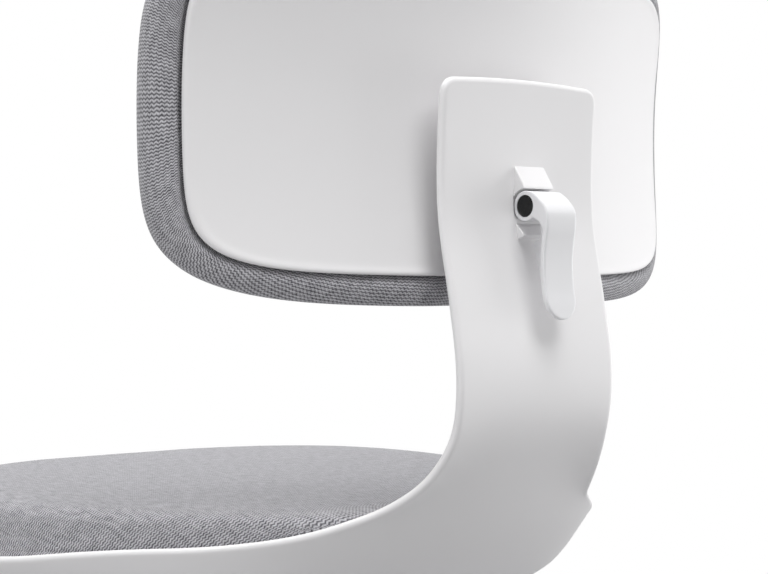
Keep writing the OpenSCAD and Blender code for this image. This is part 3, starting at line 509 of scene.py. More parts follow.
def add_node(tree, kind, inputs, out=0, **settings):
    """Adds a shader node with its settings and inputs, and gives one of its outputs."""
    made = tree.nodes.new("ShaderNode" + kind)
    for key, value in settings.items():
        setattr(made, key, value)
    feed(made, inputs)
    return made.outputs[out]


def new_material(name, **values):
    """Tree and shader of a new material, with the constants on the shader's own sockets."""
    material = bpy.data.materials.new(name)
    material.use_nodes = True
    shader = material.node_tree.nodes["Principled BSDF"]
    feed(shader, {key.replace("_", " "): value for key, value in values.items()})
    return material.node_tree, shader


def grained(name, colour, roughness, grain_mm, bump, spread, stretch=(1, 1, 1), **values):
    """Material with a fine grain in height and gloss, and a broad one in colour."""
    tree, shader = new_material(name, **values)
    place = add_node(tree, "TexCoord", {}, "Object")
    place = add_node(tree, "Mapping", {"Vector": place, "Scale": stretch})
    grain = add_node(tree, "TexNoise", {
        "Vector": place, "Scale": 1 / (grain_mm * MM), "Detail": 3.0})
    broad = add_node(tree, "TexNoise", {"Vector": place, "Scale": PATCH_SCALE, "Detail": 2.0})
    base = linear(colour)
    pale = [min(1.0, c * (1 + spread)) for c in base[:3]] + [1.0]
    deep = [c * (1 - spread) for c in base[:3]] + [1.0]
    feed(shader, {
        "Base Color": add_node(tree, "Mix", {0: broad, 6: deep, 7: pale}, 2, data_type="RGBA"),
        "Roughness": add_node(tree, "MapRange", {
            "Value": grain, "To Min": roughness - GLOSS_SWING, "To Max": roughness + GLOSS_SWING}),
        "Normal": add_node(tree, "Bump", {
            "Height": grain, "Strength": bump, "Distance": GRAIN_DEPTH * MM}),
    })


def knit_fabric(name, pale, deep, column_mm, row_mm):
    """Heather knit: V stitches in columns, on the piece's own cloth map in metres.

    Each row of pale yarn runs zigzag over the columns, with painted shade in the hollow under
    it, and dyed lengths of yarn give the cloud of lighter and darker patches.
    """
    tree, shader = new_material(name, Roughness=0.92, Sheen_Weight=0.3, Sheen_Roughness=0.5)

    def maths(operation, a, b=0.0, c=0.0):
        return add_node(tree, "Math", {0: a, 1: b, 2: c}, operation=operation)

    def noise(place, scale, **more):
        return add_node(tree, "TexNoise", {"Vector": place, "Scale": scale, "Detail": 2.0, **more})

    cloth = add_node(tree, "UVMap", {}, uv_map="cloth")
    shake = maths("MULTIPLY_ADD", noise(cloth, WANDER_SCALE), 0.7, -0.35)
    axes = add_node(tree, "SeparateXYZ", {"Vector": cloth}).node.outputs
    across = maths("ADD", maths("DIVIDE", axes["X"], column_mm * MM), maths("MULTIPLY", shake, 0.5))
    # 0 down the middle of a column, 1 at its two edges
    side = maths("ABSOLUTE", maths("MULTIPLY_ADD", maths("FRACT", across), 2.0, -1.0))
    along = maths("ADD", maths("DIVIDE", axes["Y"], row_mm * MM), shake)
    slant = maths("MULTIPLY_ADD", side, -0.44, along)
    yarn = maths("MULTIPLY_ADD", maths("COSINE", maths("MULTIPLY", slant, 2 * math.pi)), 0.5, 0.5)
    seam = maths("MULTIPLY_ADD", maths("POWER", side, 6.0), -0.3, 1.0)
    core = maths("MULTIPLY_ADD", maths("POWER", maths("SUBTRACT", 1.0, side), 5.0), -0.25, 1.0)
    height = maths("MULTIPLY", maths("MULTIPLY", yarn, seam), core)
    streak = add_node(tree, "Mapping", {"Vector": cloth, "Scale": (1.0, 0.3, 1.0)})
    cloud = noise(streak, DYED_SCALE, Detail=3.0, Roughness=0.65)
    heather = maths("ADD", maths("MULTIPLY", cloud, 0.8),
                    maths("MULTIPLY", noise(cloth, FLECK_SCALE), 0.6))
    # Colour from the stitches' height, as painted shade in the hollows under the rows and in the
    # grooves of the columns, and from the dyed cloud
    tone = maths("ADD", maths("MULTIPLY", height, 0.85), maths("ADD", heather, -0.62))
    feed(shader, {
        "Base Color": add_node(tree, "Mix", {0: tone, 6: linear(deep), 7: linear(pale)}, 2,
                               data_type="RGBA", clamp_factor=True),
        "Normal": add_node(tree, "Bump", {
            "Height": height, "Strength": 0.6, "Distance": YARN_DEPTH * MM}),
    })


# Settings

class ChairSizes(bpy.types.PropertyGroup):
    """Sizes of the visible pieces that the CAD frame leaves open."""
    edge_round: bpy.props.FloatProperty(
        name="Moulded edge", description="Radius of the edges of moulded plastic", default=0.0009,
        min=0.0002, unit="LENGTH")
    pad_swell: bpy.props.FloatProperty(
        name="Back pad swell", description="Most that the back pad's cover may swell",
        default=0.003, min=0.0, unit="LENGTH")
    cushion_swell: bpy.props.FloatProperty(
        name="Seat swell", description="Most that the seat cushion's cover may swell",
        default=0.004, min=0.0, unit="LENGTH")
    knit_column: bpy.props.FloatProperty(
        name="Knit column", description="Width of one column of stitches, in millimetres",
        default=2.8, min=0.5)
    knit_row: bpy.props.FloatProperty(
        name="Knit row", description="Height of one stitch, in millimetres", default=1.97, min=0.3)


class ChairColours(bpy.types.PropertyGroup):
    """Colours of the chair's materials, as sRGB hex."""
    plastic: bpy.props.StringProperty(
        name="White plastic", description="Seat pan, post, back shell and lever", default="#ECEBEC")
    knit_pale: bpy.props.StringProperty(
        name="Knit, pale yarn", description="Proud yarn of the upholstery", default="#D1D0D5")
    # Dark end of the knit's colour: painted shade in the gaps between the stitches, and the darker
    # dyed lengths of yarn
    knit_gap_shade_and_dark_dye: bpy.props.StringProperty(
        name="Knit, dark gaps", description="Gaps between the stitches", default="#4A494E")
    dark: bpy.props.StringProperty(
        name="Black plastic", description="Caps, grip and casters", default="#2A2B2D")


class CHAIR_OT_stage(bpy.types.Operator):
    """Make the camera, the lights, the pale floor and the white surroundings"""
    bl_idname = "chair.stage"
    bl_label = "Stage"

    def execute(self, context):
        scene = context.scene
        scene.view_settings.view_transform = "Standard"
        data = bpy.data.cameras.new("camera")
        data.sensor_fit = "HORIZONTAL"
        data.sensor_width = SENSOR_WIDTH
        data.lens = FOCAL_LENGTH / FRAME_WIDTH * SENSOR_WIDTH
        data.clip_start = 0.01
        camera = bpy.data.objects.new("camera", data)
        turn = Matrix((CAMERA_RIGHT, CAMERA_UP, CAMERA_RIGHT.cross(CAMERA_UP)))
        camera.matrix_world = Matrix.Translation(CAMERA_PLACE) @ turn.transposed().to_4x4()
        scene.collection.objects.link(camera)
        scene.camera = camera

        # White all round for the camera and for reflections, and an even, dimmer room
        # for the rest
        world = bpy.data.worlds.new("surroundings")
        world.use_nodes = True
        scene.world = world
        tree = world.node_tree
        path = add_node(tree, "LightPath", {}).node.outputs
        seen = add_node(tree, "Math", {0: path["Is Camera Ray"], 1: path["Is Glossy Ray"]},
                        operation="MAXIMUM")
        feed(tree.nodes["Background"], {"Color": WHITE, "Strength": ROOM_LIGHT})
        plain = tree.nodes["Background"].outputs[0]
        white = add_node(tree, "Background", {"Color": WHITE, "Strength": 1.0})
        surface = add_node(tree, "MixShader", {0: seen, 1: plain, 2: white})
        feed(tree.nodes["World Output"], {"Surface": surface})

        for name, place, size, power in LAMPS:
            lamp = bpy.data.lights.new(name, "AREA")
            lamp.size = size
            lamp.energy = power
            light = bpy.data.objects.new(name, lamp)
            light.visible_camera = False
            turn = (LAMP_AIM - Vector(place)).to_track_quat("-Z", "Y").to_matrix()
            light.matrix_world = Matrix.Translation(place) @ turn.to_4x4()
            scene.collection.objects.link(light)

        bpy.ops.object.select_all(action="DESELECT")
        bpy.ops.mesh.primitive_circle_add(
            radius=FLOOR_RADIUS, vertices=128, fill_type="NGON", location=(0, 0, 0))
        floor = context.object
        floor.name = floor.data.name = "floor"
        # Matt-coated floor: evenly dull, fading into the white surroundings to its edge
        tree, shader = new_material("pale matt floor", Roughness=0.8)
        place = add_node(tree, "TexCoord", {}, "Object")
        far = add_node(tree, "VectorMath", {0: place}, "Value", operation="LENGTH")
        fade = add_node(tree, "MapRange", {
            "Value": far, "From Min": FADE_START, "From Max": FADE_END},
            interpolation_type="SMOOTHSTEP")
        seen = add_node(tree, "LightPath", {}, "Is Camera Ray")
        fade = add_node(tree, "Math", {0: fade, 1: seen}, operation="MULTIPLY")
        tone = {0: seen, 6: linear(FLOOR_BOUNCE), 7: linear(FLOOR_TONE)}
        feed(shader, {"Base Color": add_node(tree, "Mix", tone, 2, data_type="RGBA")})
        glow = add_node(tree, "Emission", {"Color": WHITE, "Strength": 1.0})
        surface = add_node(tree, "MixShader", {0: fade, 1: shader.outputs[0], 2: glow})
        feed(tree.nodes["Material Output"], {"Surface": surface})
        floor.data.materials.append(bpy.data.materials["pale matt floor"])
        return {"FINISHED"}


class CHAIR_OT_materials(bpy.types.Operator):
    """Make the materials and give every carried CAD node its own"""
    bl_idname = "chair.materials"
    bl_label = "Materials"

    def execute(self, context):
        colours, sizes = context.scene.chair_colours, context.scene.chair_sizes
        # Injection-moulded polypropylene: an even white, matt from a spark-eroded mould
        grained("moulded polypropylene", colours.plastic, 0.5, 0.5, 0.10, 0.006)
        # Acetal from a smoother mould: a soft sheen along the lever's round edges
        grained("satin acetal", "#E7E7E9", 0.36, 0.6, 0.05, 0.004)
        # Moulded glass-filled nylon: fibres near the skin make it a little coarser
        grained("glass-filled nylon", "#E9E9EA", 0.46, 0.7, 0.14, 0.01)
        # Acetal from a polished mould: deep black, a hairline of reflection on its rims
        grained("black acetal", "#0D0E0F", 0.26, 0.6, 0.05, 0.03, Specular_IOR_Level=0.3)
        # Soft polypropylene from an etched mould: broad, dull highlights
        grained("soft black polypropylene", colours.dark, 0.55, 0.6, 0.2, 0.06)
        # Nylon moulded hard for wear: a plain dark skin, half dull
        grained("caster nylon", "#303133", 0.48, 0.7, 0.16, 0.05)
        # Cast polyurethane tread: grippy, so dull and open-grained
        grained("polyurethane tread", "#3A3B3E", 0.62, 0.9, 0.22, 0.08)
        # Die-cast aluminium, shot-blasted: grey metal with a coarse, uneven glint
        grained("die-cast aluminium", "#8D9093", 0.5, 1.6, 0.35, 0.06, Metallic=1.0)
        # Stoved enamel on steel: a clear wet coat over faint orange peel
        grained("black enamel", "#1D1E20", 0.3, 1.8, 0.10, 0.05,
                Coat_Weight=0.3, Coat_Roughness=0.15)
        # Ground and polished steel: near a mirror, with fine marks round the rod
        grained("polished steel", "#C9CBCD", 0.14, 0.3, 0.06, 0.03, (1, 1, 14), Metallic=1.0)
        # Zinc-plated steel: soft silver, clouded by the bath
        grained("zinc-plated steel", "#B6B9BA", 0.34, 1.2, 0.12, 0.08, Metallic=1.0)
        # Felt pressed under heat: flat and fibrous, with no shine
        grained("compression-moulded felt board", "#3A3B3D", 0.85, 1.0, 0.3, 0.1)
        # Beech plywood, cut along the grain: long streaks along X, fine pores
        grained("beech plywood", "#C39E6E", 0.6, 0.8, 0.2, 0.18, (0.12, 1, 1))
        # Knitted from melange yarn: pale ribs, painted shade in the gaps, a cloud of dyed lengths
        knit_fabric("heather knit", colours.knit_pale, colours.knit_gap_shade_and_dark_dye,
                    sizes.knit_column, sizes.knit_row)
        by_slot = {
            "white_plastic": "moulded polypropylene", "rail_plastic": "satin acetal",
            "star_plastic": "glass-filled nylon", "seat_fabric": "heather knit",
            "plywood": "beech plywood", "board_plastic": "compression-moulded felt board",
            "black_plastic": "soft black polypropylene", "caster_plastic": "caster nylon",
            "caster_tread": "polyurethane tread", "die_cast": "die-cast aluminium",
            "black_enamel": "black enamel", "polished_steel": "polished steel",
            "zinc_steel": "zinc-plated steel",
        }
        for part in frame["record"]["subparts"]:
            node = frame["nodes"][part["node"]]
            for slot in node.material_slots:
                slot.material = bpy.data.materials[by_slot[part["material_slot"]]]
        return {"FINISHED"}


def station_at(z):
    """Station, near the post's top, where the spine is at a height."""
    low, high = LAST_STATION - 2, LAST_STATION
    for step in range(SEARCH_TURNS):
        middle = (low + high) / 2
        if sheet_point(("rear", middle), 0).z < z:
            low = middle
        else:
            high = middle
    return low


def half_round_sheet(name):
    """Moulded sheet with half-round edges all round, from inset rows of the outer face."""
    r, top = SHEET_T / 2, PAN_H + POST_RISE + TOP_OVER
    rows = [("front", angle) for angle in FRONT_ANGLES]
    rows += [("rear", k / 2) for k in range(2 * LAST_STATION - 1)]
    rows += [("rear", station_at(top - drop)) for drop in TOP_DROPS]
    shares = gathered(SHEET_COLUMNS)
    outer, inner = [], []
    for row in rows:
        edge = (sheet_point(row, 1) - sheet_point(row, 0.995)).length / 0.005
        reach = 1 - r / edge
        drop = top - sheet_point(row, 0).z
        if row[0] == "rear" and drop < POST_CORNER - 0.01:
            fall = math.sqrt(max(0, (POST_CORNER - r) ** 2 - (POST_CORNER - drop) ** 2))
            reach = (POST_W / 2 - POST_CORNER + fall) / (POST_W / 2)
        for t in shares:
            outer.append(sheet_point(row, t * reach))
            inner.append(outer[-1] + sheet_normal(row, t * reach) * SHEET_T)
    points, half, wide = outer + inner, len(outer), len(shares)
    faces = []
    for i in range(len(rows) - 1):
        for k in range(i * wide, i * wide + wide - 1):
            faces.append((k, k + wide, k + wide + 1, k + 1))
            faces.append((half + k, half + k + 1, half + k + wide + 1, half + k + wide))
    # Half-round edge from each rim point of the outer face to that of the inner one
    rim = grid_rim(len(rows), wide)
    arcs = []
    for m, k in enumerate(rim):
        low, high = points[k], points[half + k]
        ahead = points[rim[(m + 1) % len(rim)]] - points[rim[m - 1]]
        normal = (high - low).normalized()
        away = ahead.cross(normal).normalized()
        arcs.append([k])
        for a in range(1, EDGE_ARCS):
            turn = math.pi * a / EDGE_ARCS
            arcs[-1].append(len(points))
            points.append((low + high) / 2
                          - normal * r * math.cos(turn) + away * r * math.sin(turn))
        arcs[-1].append(half + k)
    for m, one in enumerate(arcs):
        two = arcs[(m + 1) % len(arcs)]
        faces += [(one[a], two[a], two[a + 1], one[a + 1]) for a in range(EDGE_ARCS)]
    piece = mesh_piece(name, points, faces)
    outwards(piece)
    modify(piece, "SUBSURF", levels=1, render_levels=1)
    return piece


class CHAIR_OT_sheet(bpy.types.Operator):
    """Make the one-piece seat pan and back post, with its clamp wedges and bolt holes"""
    bl_idname = "chair.sheet"
    bl_label = "Seat and post sheet"

    def execute(self, context):
        piece = half_round_sheet("seat_and_post")
        edge = context.scene.chair_sizes.edge_round / MM
        x0, x1 = PIVOT.x - CLAMP_W / 2, PIVOT.x + CLAMP_W / 2
        for outline in WEDGES:
            wedge = prism_x("wedge", [(POST_BACK_Y + y, PIVOT.z + z) for y, z in outline], x0, x1)
            bevel(wedge, 1.1 * edge, 4, 30)
            combine(piece, wedge, "UNION")
        combine(piece, rod(CRADLE_R, CLAMP_W + 2, PIVOT, "X", 96), "DIFFERENCE")
        hole = rod(BOLT_HOLE_R, 4 * SHEET_T, (PIVOT.x, POST_BACK_Y, PIVOT.z), "Y")
        combine(piece, hole, "DIFFERENCE")
        for x in BOLT_X:
            for y in BOLT_Y:
                combine(piece, rod(BOLT_HOLE_R, 4 * SHEET_T, (x, y, PAN_H)), "DIFFERENCE")
        smooth(piece, 30)
        settle_in(piece, "seat", "white_plastic", "moulded polypropylene", "frame_shell")
        return {"FINISHED"}


class CHAIR_OT_clamp(bpy.types.Operator):
    """Make the hooked clamp lever and its two black caps"""
    bl_idname = "chair.clamp"
    bl_label = "Clamp lever"

    def execute(self, context):
        half = CLAMP_W / 2
        x0, x1 = PIVOT.x - half, PIVOT.x + half
        curve = [spline_at(LEVER_SHARES, k / 4) for k in range(4 * (len(LEVER_SHARES) - 1) + 1)]
        back = [(out * LEVER_OUT, up * LEVER_DROP) for out, up in curve]
        front = [(y - STRAP_T, z) for y, z in back[32:][::-2]]
        # From the strap's front in under the barrel
        under = [(11.3, -BARREL_R - STRAP_T / 4), (10.1, -BARREL_R), (0, -BARREL_R / 2)]
        lever = prism_x("clamp_lever_arm", at_pivot(back + front + under), x0, x1)
        # Round end of the lever, seen from behind
        middle = PIVOT.z - LEVER_DROP + half
        plan = [(x0, PIVOT.z + 2 * BARREL_R), (x1, PIVOT.z + 2 * BARREL_R)]
        for turn in (math.radians(a) for a in range(0, -181, -6)):
            plan.append((PIVOT.x + half * math.cos(turn), middle + half * math.sin(turn)))
        cutter = extruded("plan", [(x, PIVOT.y - 30, z) for x, z in plan], (0, 60, 0))
        combine(lever, cutter, "INTERSECT")
        # Well round on the strap, less on the barrel
        flow(lever, 0.42, 20)
        rib = at_pivot((out * LEVER_OUT, up * LEVER_DROP) for out, up in RIB_SHARES)
        combine(lever, prism_x("rib", rib, PIVOT.x - RIB_T / 2, PIVOT.x + RIB_T / 2), "UNION")
        combine(lever, rod(BARREL_R, CLAMP_W, PIVOT, "X", 96), "UNION")
        flow(lever, 0.4, 5)
        for x in (x0, x1):
            seat = rod(CAP_R + 0.25, 2 * CAP_T, (x, PIVOT.y, PIVOT.z), "X", 96)
            combine(lever, seat, "DIFFERENCE")
        combine(lever, rod(PIN_HOLE_R, CLAMP_W + 2, PIVOT, "X"), "DIFFERENCE")
        eye = [(EYE_R * math.cos(turn), EYE_R * math.sin(turn))
               for turn in (math.radians(a) for a in range(0, 360, 10))]
        for outline in (eye, BOLT_SWEEP):
            room = prism_x("room", at_pivot(outline), PIVOT.x - EYE_HALF, PIVOT.x + EYE_HALF)
            combine(lever, room, "DIFFERENCE")
        smooth(lever, 40)
        settle_in(lever, "clamp_hook", "white_plastic", "satin acetal", "clamp_lever")

        caps = []
        for side in (-1, 1):
            place = (PIVOT.x + side * half - side * CAP_T / 2, PIVOT.y, PIVOT.z)
            cap = rod(CAP_R, CAP_T, place, "X", 96)
            bpy.ops.object.mode_set(mode="EDIT")
            bpy.ops.mesh.select_mode(type="FACE")
            bpy.ops.mesh.select_all(action="DESELECT")
            bpy.ops.object.mode_set(mode="OBJECT")
            for polygon in cap.data.polygons:
                polygon.select = polygon.normal.x * side > 0.9
            bpy.ops.object.mode_set(mode="EDIT")
            # A shallow dished face inside a narrow rim
            bpy.ops.mesh.inset(thickness=0.7 * MM, depth=0)
            bpy.ops.mesh.inset(thickness=0.35 * MM, depth=-0.3 * MM)
            bpy.ops.object.mode_set(mode="OBJECT")
            bevel(cap, 0.3, 3, 50)
            caps.append(cap)
        cap = joined("lever_caps", caps)
        smooth(cap)
        settle_in(cap, "clamp_hook", "black_plastic", "black acetal", "clamp_caps")
        return {"FINISHED"}


def ring_mesh(name, rings, first_middle, last_middle):
    """Closed mesh through rings of points, with a point at the middle of each end."""
    count = len(rings[0])
    points = [p for ring in rings for p in ring] + [first_middle, last_middle]
    tip = len(rings) * count
    faces = [(tip, (k + 1) % count, k) for k in range(count)]
    for i in range(len(rings) - 1):
        for k in range(count):
            a, b = i * count + k, i * count + (k + 1) % count
            faces.append((a, b, b + count, a + count))
    last = tip - count
    faces += [(tip + 1, last + k, last + (k + 1) % count) for k in range(count)]
    return mesh_piece(name, points, faces)


def back_ring(w, h, power, depth, sides):
    """Ring of points on the back, round an outline at a depth."""
    return [back_point(x, z, depth) for x, z in back_outline(w, h, power, sides)]


class CHAIR_OT_back_shell(bpy.types.Operator):
    """Make the thin saddle-shaped back shell with its rolled lip and slot"""
    bl_idname = "chair.back_shell"
    bl_label = "Back shell"

    def execute(self, context):
        w, h = BACK_W / 2 + LIP_REACH, BACK_H / 2 + LIP_REACH
        profile = [(k / 10, 0, 0) for k in range(1, 10)]
        profile += [(1, inset, depth) for inset, depth in LIP_SECTION]
        profile += [(k / 10, 0, BACK_WALL) for k in range(9, 0, -1)]
        rings = [back_ring(w * k - inset, h * k - inset, BACK_POWER, depth, SHELL_SIDES)
                 for k, inset, depth in profile]
        ends = [back_point(0, BACK_Z, depth) for depth in (0, BACK_WALL)]
        piece = ring_mesh("back_shell_panel", rings, *ends)
        outwards(piece)
        modify(piece, "SUBSURF", levels=1, render_levels=1)
        slot = slab((PIVOT.x - SLOT_HALF, BACK_Y - 6, PIVOT.z - SLOT_UNDER),
                    (PIVOT.x + SLOT_HALF, BACK_Y + 6, PIVOT.z + SLOT_OVER))
        bevel(slot, 3.2, 6, 30)
        combine(piece, slot, "DIFFERENCE")
        smooth(piece, 40)
        settle_in(piece, "back", "white_plastic", "moulded polypropylene", "back_shell")
        rounded("slide_rail", "back_rail", 0.5)
        return {"FINISHED"}


def cloth_map(piece, mapped, triangles, uvs):
    """Gives a piece the cloth map of a base form, read from its nearest faces."""
    tree = BVHTree.FromPolygons(mapped, triangles)
    layer = piece.data.uv_layers.new(name="cloth")
    found = []
    for vertex in piece.data.vertices:
        spot, normal, index, distance = tree.find_nearest(vertex.co)
        face = triangles[index]
        corners = [mapped[k] for k in face]
        areas = [(corners[k - 2] - spot).cross(corners[k - 1] - spot).length for k in range(3)]
        total = sum(areas) or 1.0
        found.append([sum(areas[k] * uvs[face[k]][c] for k in range(3)) / total for c in (0, 1)])
    for loop in piece.data.loops:
        layer.data[loop.index].uv = found[loop.vertex_index]


def upright(way):
    """Way out from the cover's edge, pulled to the axes to keep the knit's columns upright."""
    return Vector([math.copysign(abs(c) ** COLUMN_PULL, c) for c in way]).normalized()


def inflate(piece, cap, pinned):
    """Swells a closed mesh as padded cloth, and caps how far each point may move."""
    only(piece)
    before = [v.co.copy() for v in piece.data.vertices]
    group = piece.vertex_groups.new(name="pinned")
    group.add(pinned, 1.0, "REPLACE")
    modifier = piece.modifiers.new("Cloth", "CLOTH")
    cloth = modifier.settings
    cloth.use_pressure = True
    cloth.uniform_pressure_force = PRESSURE
    cloth.effector_weights.gravity = 0
    cloth.quality = 5
    cloth.vertex_group_mass = "pinned"
    modifier.collision_settings.use_collision = False
    scene = bpy.context.scene
    for step in range(1, CLOTH_FRAMES + 1):
        scene.frame_set(step)
    bpy.ops.object.modifier_apply(modifier=modifier.name)
    scene.frame_set(1)
    moves = []
    for vertex, old in zip(piece.data.vertices, before):
        move = vertex.co - old
        moves.append(move * min(1, cap / max(move.length, cap / 100)))
    # A taut cover has no small waves, so each point moves as its neighbours do
    for turn in range(EVEN_TURNS):
        totals = [move.copy() for move in moves]
        counts = [1] * len(moves)
        for edge in piece.data.edges:
            a, b = edge.vertices
            totals[a] += moves[b]
            totals[b] += moves[a]
            counts[a] += 1
            counts[b] += 1
        moves = [total / count for total, count in zip(totals, counts)]
        for k in pinned:
            moves[k] = Vector((0, 0, 0))
    for vertex, old, move in zip(piece.data.vertices, before, moves):
        vertex.co = old + move
    piece.vertex_groups.clear()


def upholster(piece, uvs, swell, held, seam=()):
    """Swells a closed form, draws its seam in and gives it its cloth map.

    uvs maps the form's points, held lists those stapled down, seam pairs some with moves.
    """
    mapped = [v.co.copy() for v in piece.data.vertices]
    triangles = []
    for polygon in piece.data.polygons:
        v = list(polygon.vertices)
        triangles += [(v[0], v[k], v[k + 1]) for k in range(1, len(v) - 1)]
    outwards(piece)
    inflate(piece, swell, held)
    for k, move in seam:
        piece.data.vertices[k].co += move * MM
    modify(piece, "SUBSURF", levels=1, render_levels=1)
    cloth_map(piece, mapped, triangles, uvs)
    smooth(piece, 60)


class CHAIR_OT_back_pad(bpy.types.Operator):
    """Make the upholstered back pad as a swollen cushion in knitted fabric"""
    bl_idname = "chair.back_pad"
    bl_label = "Back pad"

    def execute(self, context):
        board_w, board_h = BACK_W / 2 - BOARD_INSET + SOFT_GAP, BACK_H / 2 - BOARD_INSET + SOFT_GAP
        w, h = BACK_W / 2, BACK_H / 2
        # Section from the board round the edge to the front: half width and height,
        # depth, and the power of the outline
        section = [(board_w * k, board_h * k, PAD_FLOOR, PAD_POWER) for k in (0.3, 0.6, 0.85, 1)]
        section += [
            (board_w + 0.5, board_h + 0.5, 10.5, PAD_POWER),
            (board_w + 5, board_h + 5, 6.5, PAD_POWER),
            (w - 8, h - 8, 6.6, PAD_POWER),
            (w - 1, h - 1, 6.9, BACK_POWER),
            (w + 1.2, h + 1.2, 5.6, BACK_POWER),
        ]
        for share, depth in PAD_EDGE:
            power = blend(BACK_POWER, PAD_POWER, max(0, min(1, share)))
            reach = PAD_REACH * share
            section.append((w + reach, h + reach * PAD_TALL_SHARE, depth, power))
        section += [((w - 8) * k, (h - 8) * k, PAD_FACE - 1.6 * k, PAD_POWER) for k in PAD_FRONT]
        rings = [back_ring(a, b, power, depth, PAD_SIDES) for a, b, depth, power in section]
        # Above and below, the edge turns away from the shell sooner than at the sides
        for ring, size, lean in zip(rings[LEAN_RING:], section[LEAN_RING:], EDGE_LEAN):
            for point in ring:
                point.y -= lean * min(1, abs(point.z - BACK_Z) / size[1]) ** 3
        ends = [back_point(0, BACK_Z, depth) for depth in (PAD_FLOOR, PAD_FACE)]
        piece = ring_mesh("back_cushion", rings, *ends)
        # Cloth map: flat over the front, and unrolled round the edge towards the shell
        edge = len(section) - len(PAD_FRONT) - 1
        front = [p.xz for p in rings[edge]]
        ways = []
        for k in range(PAD_SIDES):
            ahead = front[(k + 1) % PAD_SIDES] - front[k - 1]
            ways.append(upright(Vector((ahead.y, -ahead.x)).normalized()))
        uvs = []
        for i, ring in enumerate(rings):
            for k, p in enumerate(ring):
                if i >= edge:
                    uvs.append((p.x * MM, p.z * MM))
                else:
                    run = sum((rings[j][k] - rings[j + 1][k]).length for j in range(i, edge))
                    uvs.append([(front[k][c] + ways[k][c] * run) * MM for c in (0, 1)])
        held = list(range(HELD_RINGS * PAD_SIDES)) + [len(uvs)]
        uvs += [(0, BACK_Z * MM)] * 2
        upholster(piece, uvs, context.scene.chair_sizes.pad_swell, held)
        settle_in(piece, "back", "seat_fabric", "heather knit", "back_pad")
        return {"FINISHED"}


def board_rho(x, y):
    """Plan distance from the middle of the board under the cushion: 1 on the board's edge."""
    across, ahead = abs(x) * 2 / SEAT_W / BOARD_SHARE, -WIDEST_Y - y
    if ahead > 0:
        ahead /= (SEAT_FRONT - WIDEST_Y) * BOARD_SHARE
        return (across ** FRONT_POWER + ahead ** FRONT_POWER) ** (1 / FRONT_POWER)
    return math.hypot(across, ahead / (SEAT_REAR + WIDEST_Y) / BOARD_REAR_SHARE)


class CHAIR_OT_seat_cushion(bpy.types.Operator):
    """Make the crowned seat cushion with its boxed side and seam, in knitted fabric"""
    bl_idname = "chair.seat_cushion"
    bl_label = "Seat cushion"

    def execute(self, context):
        rows = [("front", COVER_FRONT * k / 16) for k in range(16, 0, -1)]
        rows += [("rear", CUSHION_LAST * k / 26) for k in range(27)]
        shares = [t * CUSHION_SHARE for t in gathered(CUSHION_COLUMNS)]
        # Underside, a gap over the sheet and over the board
        points = [sheet_point(row, t) + sheet_normal(row, t) * (SHEET_T + SOFT_GAP)
                  for row in rows for t in shares]
        for p in points:
            if board_rho(p.x, p.y) < BOARD_EDGE:
                p.z = max(p.z, PAN_H + BOARD_TOP + SOFT_GAP)
        wide, crest = len(shares), PAN_H + CREST_RISE
        faces = []
        for i in range(len(rows) - 1):
            for k in range(i * wide, i * wide + wide - 1):
                faces.append((k, k + 1, k + wide + 1, k + wide))
        # Side: up from the pan's rim over the roll. The corners of the plan, where the
        # rows meet the front and rear, are rounded off
        index = [grid_rim(len(rows), wide)]
        rim, total = [points[k] for k in index[0]], len(index[0])
        held = list(range(len(points)))
        ways = []
        for m in range(total):
            ahead = rim[(m + 1) % total] - rim[m - 1]
            ways.append(Vector((ahead.y, -ahead.x, 0)).normalized())
        for out, up in CUSHION_SIDE:
            ring = [p + way * out for p, way in zip(rim, ways)]
            for turn in range(PLAN_TURNS):
                ring = [(ring[m - 1] + ring[m] * 2 + ring[(m + 1) % total]) / 4
                        for m in range(total)]
            index.append(list(range(len(points), len(points) + total)))
            points += [Vector((p.x, p.y, blend(low.z, crest - CREST_CROWN, up)))
                       for p, low in zip(ring, rim)]
        # Top: rings that close on the middle
        centre = Vector((0, -10, crest))
        roll = [points[k] for k in index[-1]]
        levels = list(index)
        for k in CUSHION_TOP:
            levels.append(list(range(len(points), len(points) + total)))
            for p in roll:
                points.append(centre + (p - centre) * k)
                points[-1].z = crest - CREST_CROWN * k * k
        for one, two in zip(levels, levels[1:]):
            faces += [(one[m - 1], one[m], two[m], two[m - 1]) for m in [*range(1, total), 0]]
        last = levels[-1]
        faces += [(last[m - 1], last[m], len(points)) for m in [*range(1, total), 0]]
        points.append(centre)
        piece = mesh_piece("seat_cushion_pad", points, faces)
        # Cloth map: flat over the top, unrolled down the side with upright columns
        uvs = [(p.x * MM, p.y * MM) for p in points]
        for m, way in enumerate(ways):
            pull, top, run = upright(way.xy), roll[m], 0.0
            for level in range(len(index) - 2, -1, -1):
                run += (points[index[level + 1][m]] - points[index[level][m]]).length
                uvs[index[level][m]] = [(top[c] + pull[c] * run) * MM for c in (0, 1)]
        # The seam between the side and the narrow band along the pan
        seam = [(k, -way * SEAM_DEPTH) for k, way in zip(index[SEAM_RING], ways)]
        upholster(piece, uvs, context.scene.chair_sizes.cushion_swell, held, seam)
        settle_in(piece, "seat", "seat_fabric", "heather knit", "seat_cushion")
        return {"FINISHED"}


class CHAIR_OT_base(bpy.types.Operator):
    """Round the edges of the moulded five-arm base"""
    bl_idname = "chair.base"
    bl_label = "Base"

    def execute(self, context):
        rounded("star_moulding", "base_star", 1.4)
        return {"FINISHED"}


class CHAIR_OT_column(bpy.types.Operator):
    """Round the edges of the column's tube, bush, cylinder and rod"""
    bl_idname = "chair.column"
    bl_label = "Column"

    def execute(self, context):
        rounded("outer_tube", "column_tube", 0.8)
        rounded("tube_bush", "guide_bush", 0.6)
        rounded("gas_spring_cylinder", "gas_cylinder", 0.6)
        rounded("spring_rod", "piston_rod", 0.5)
        return {"FINISHED"}


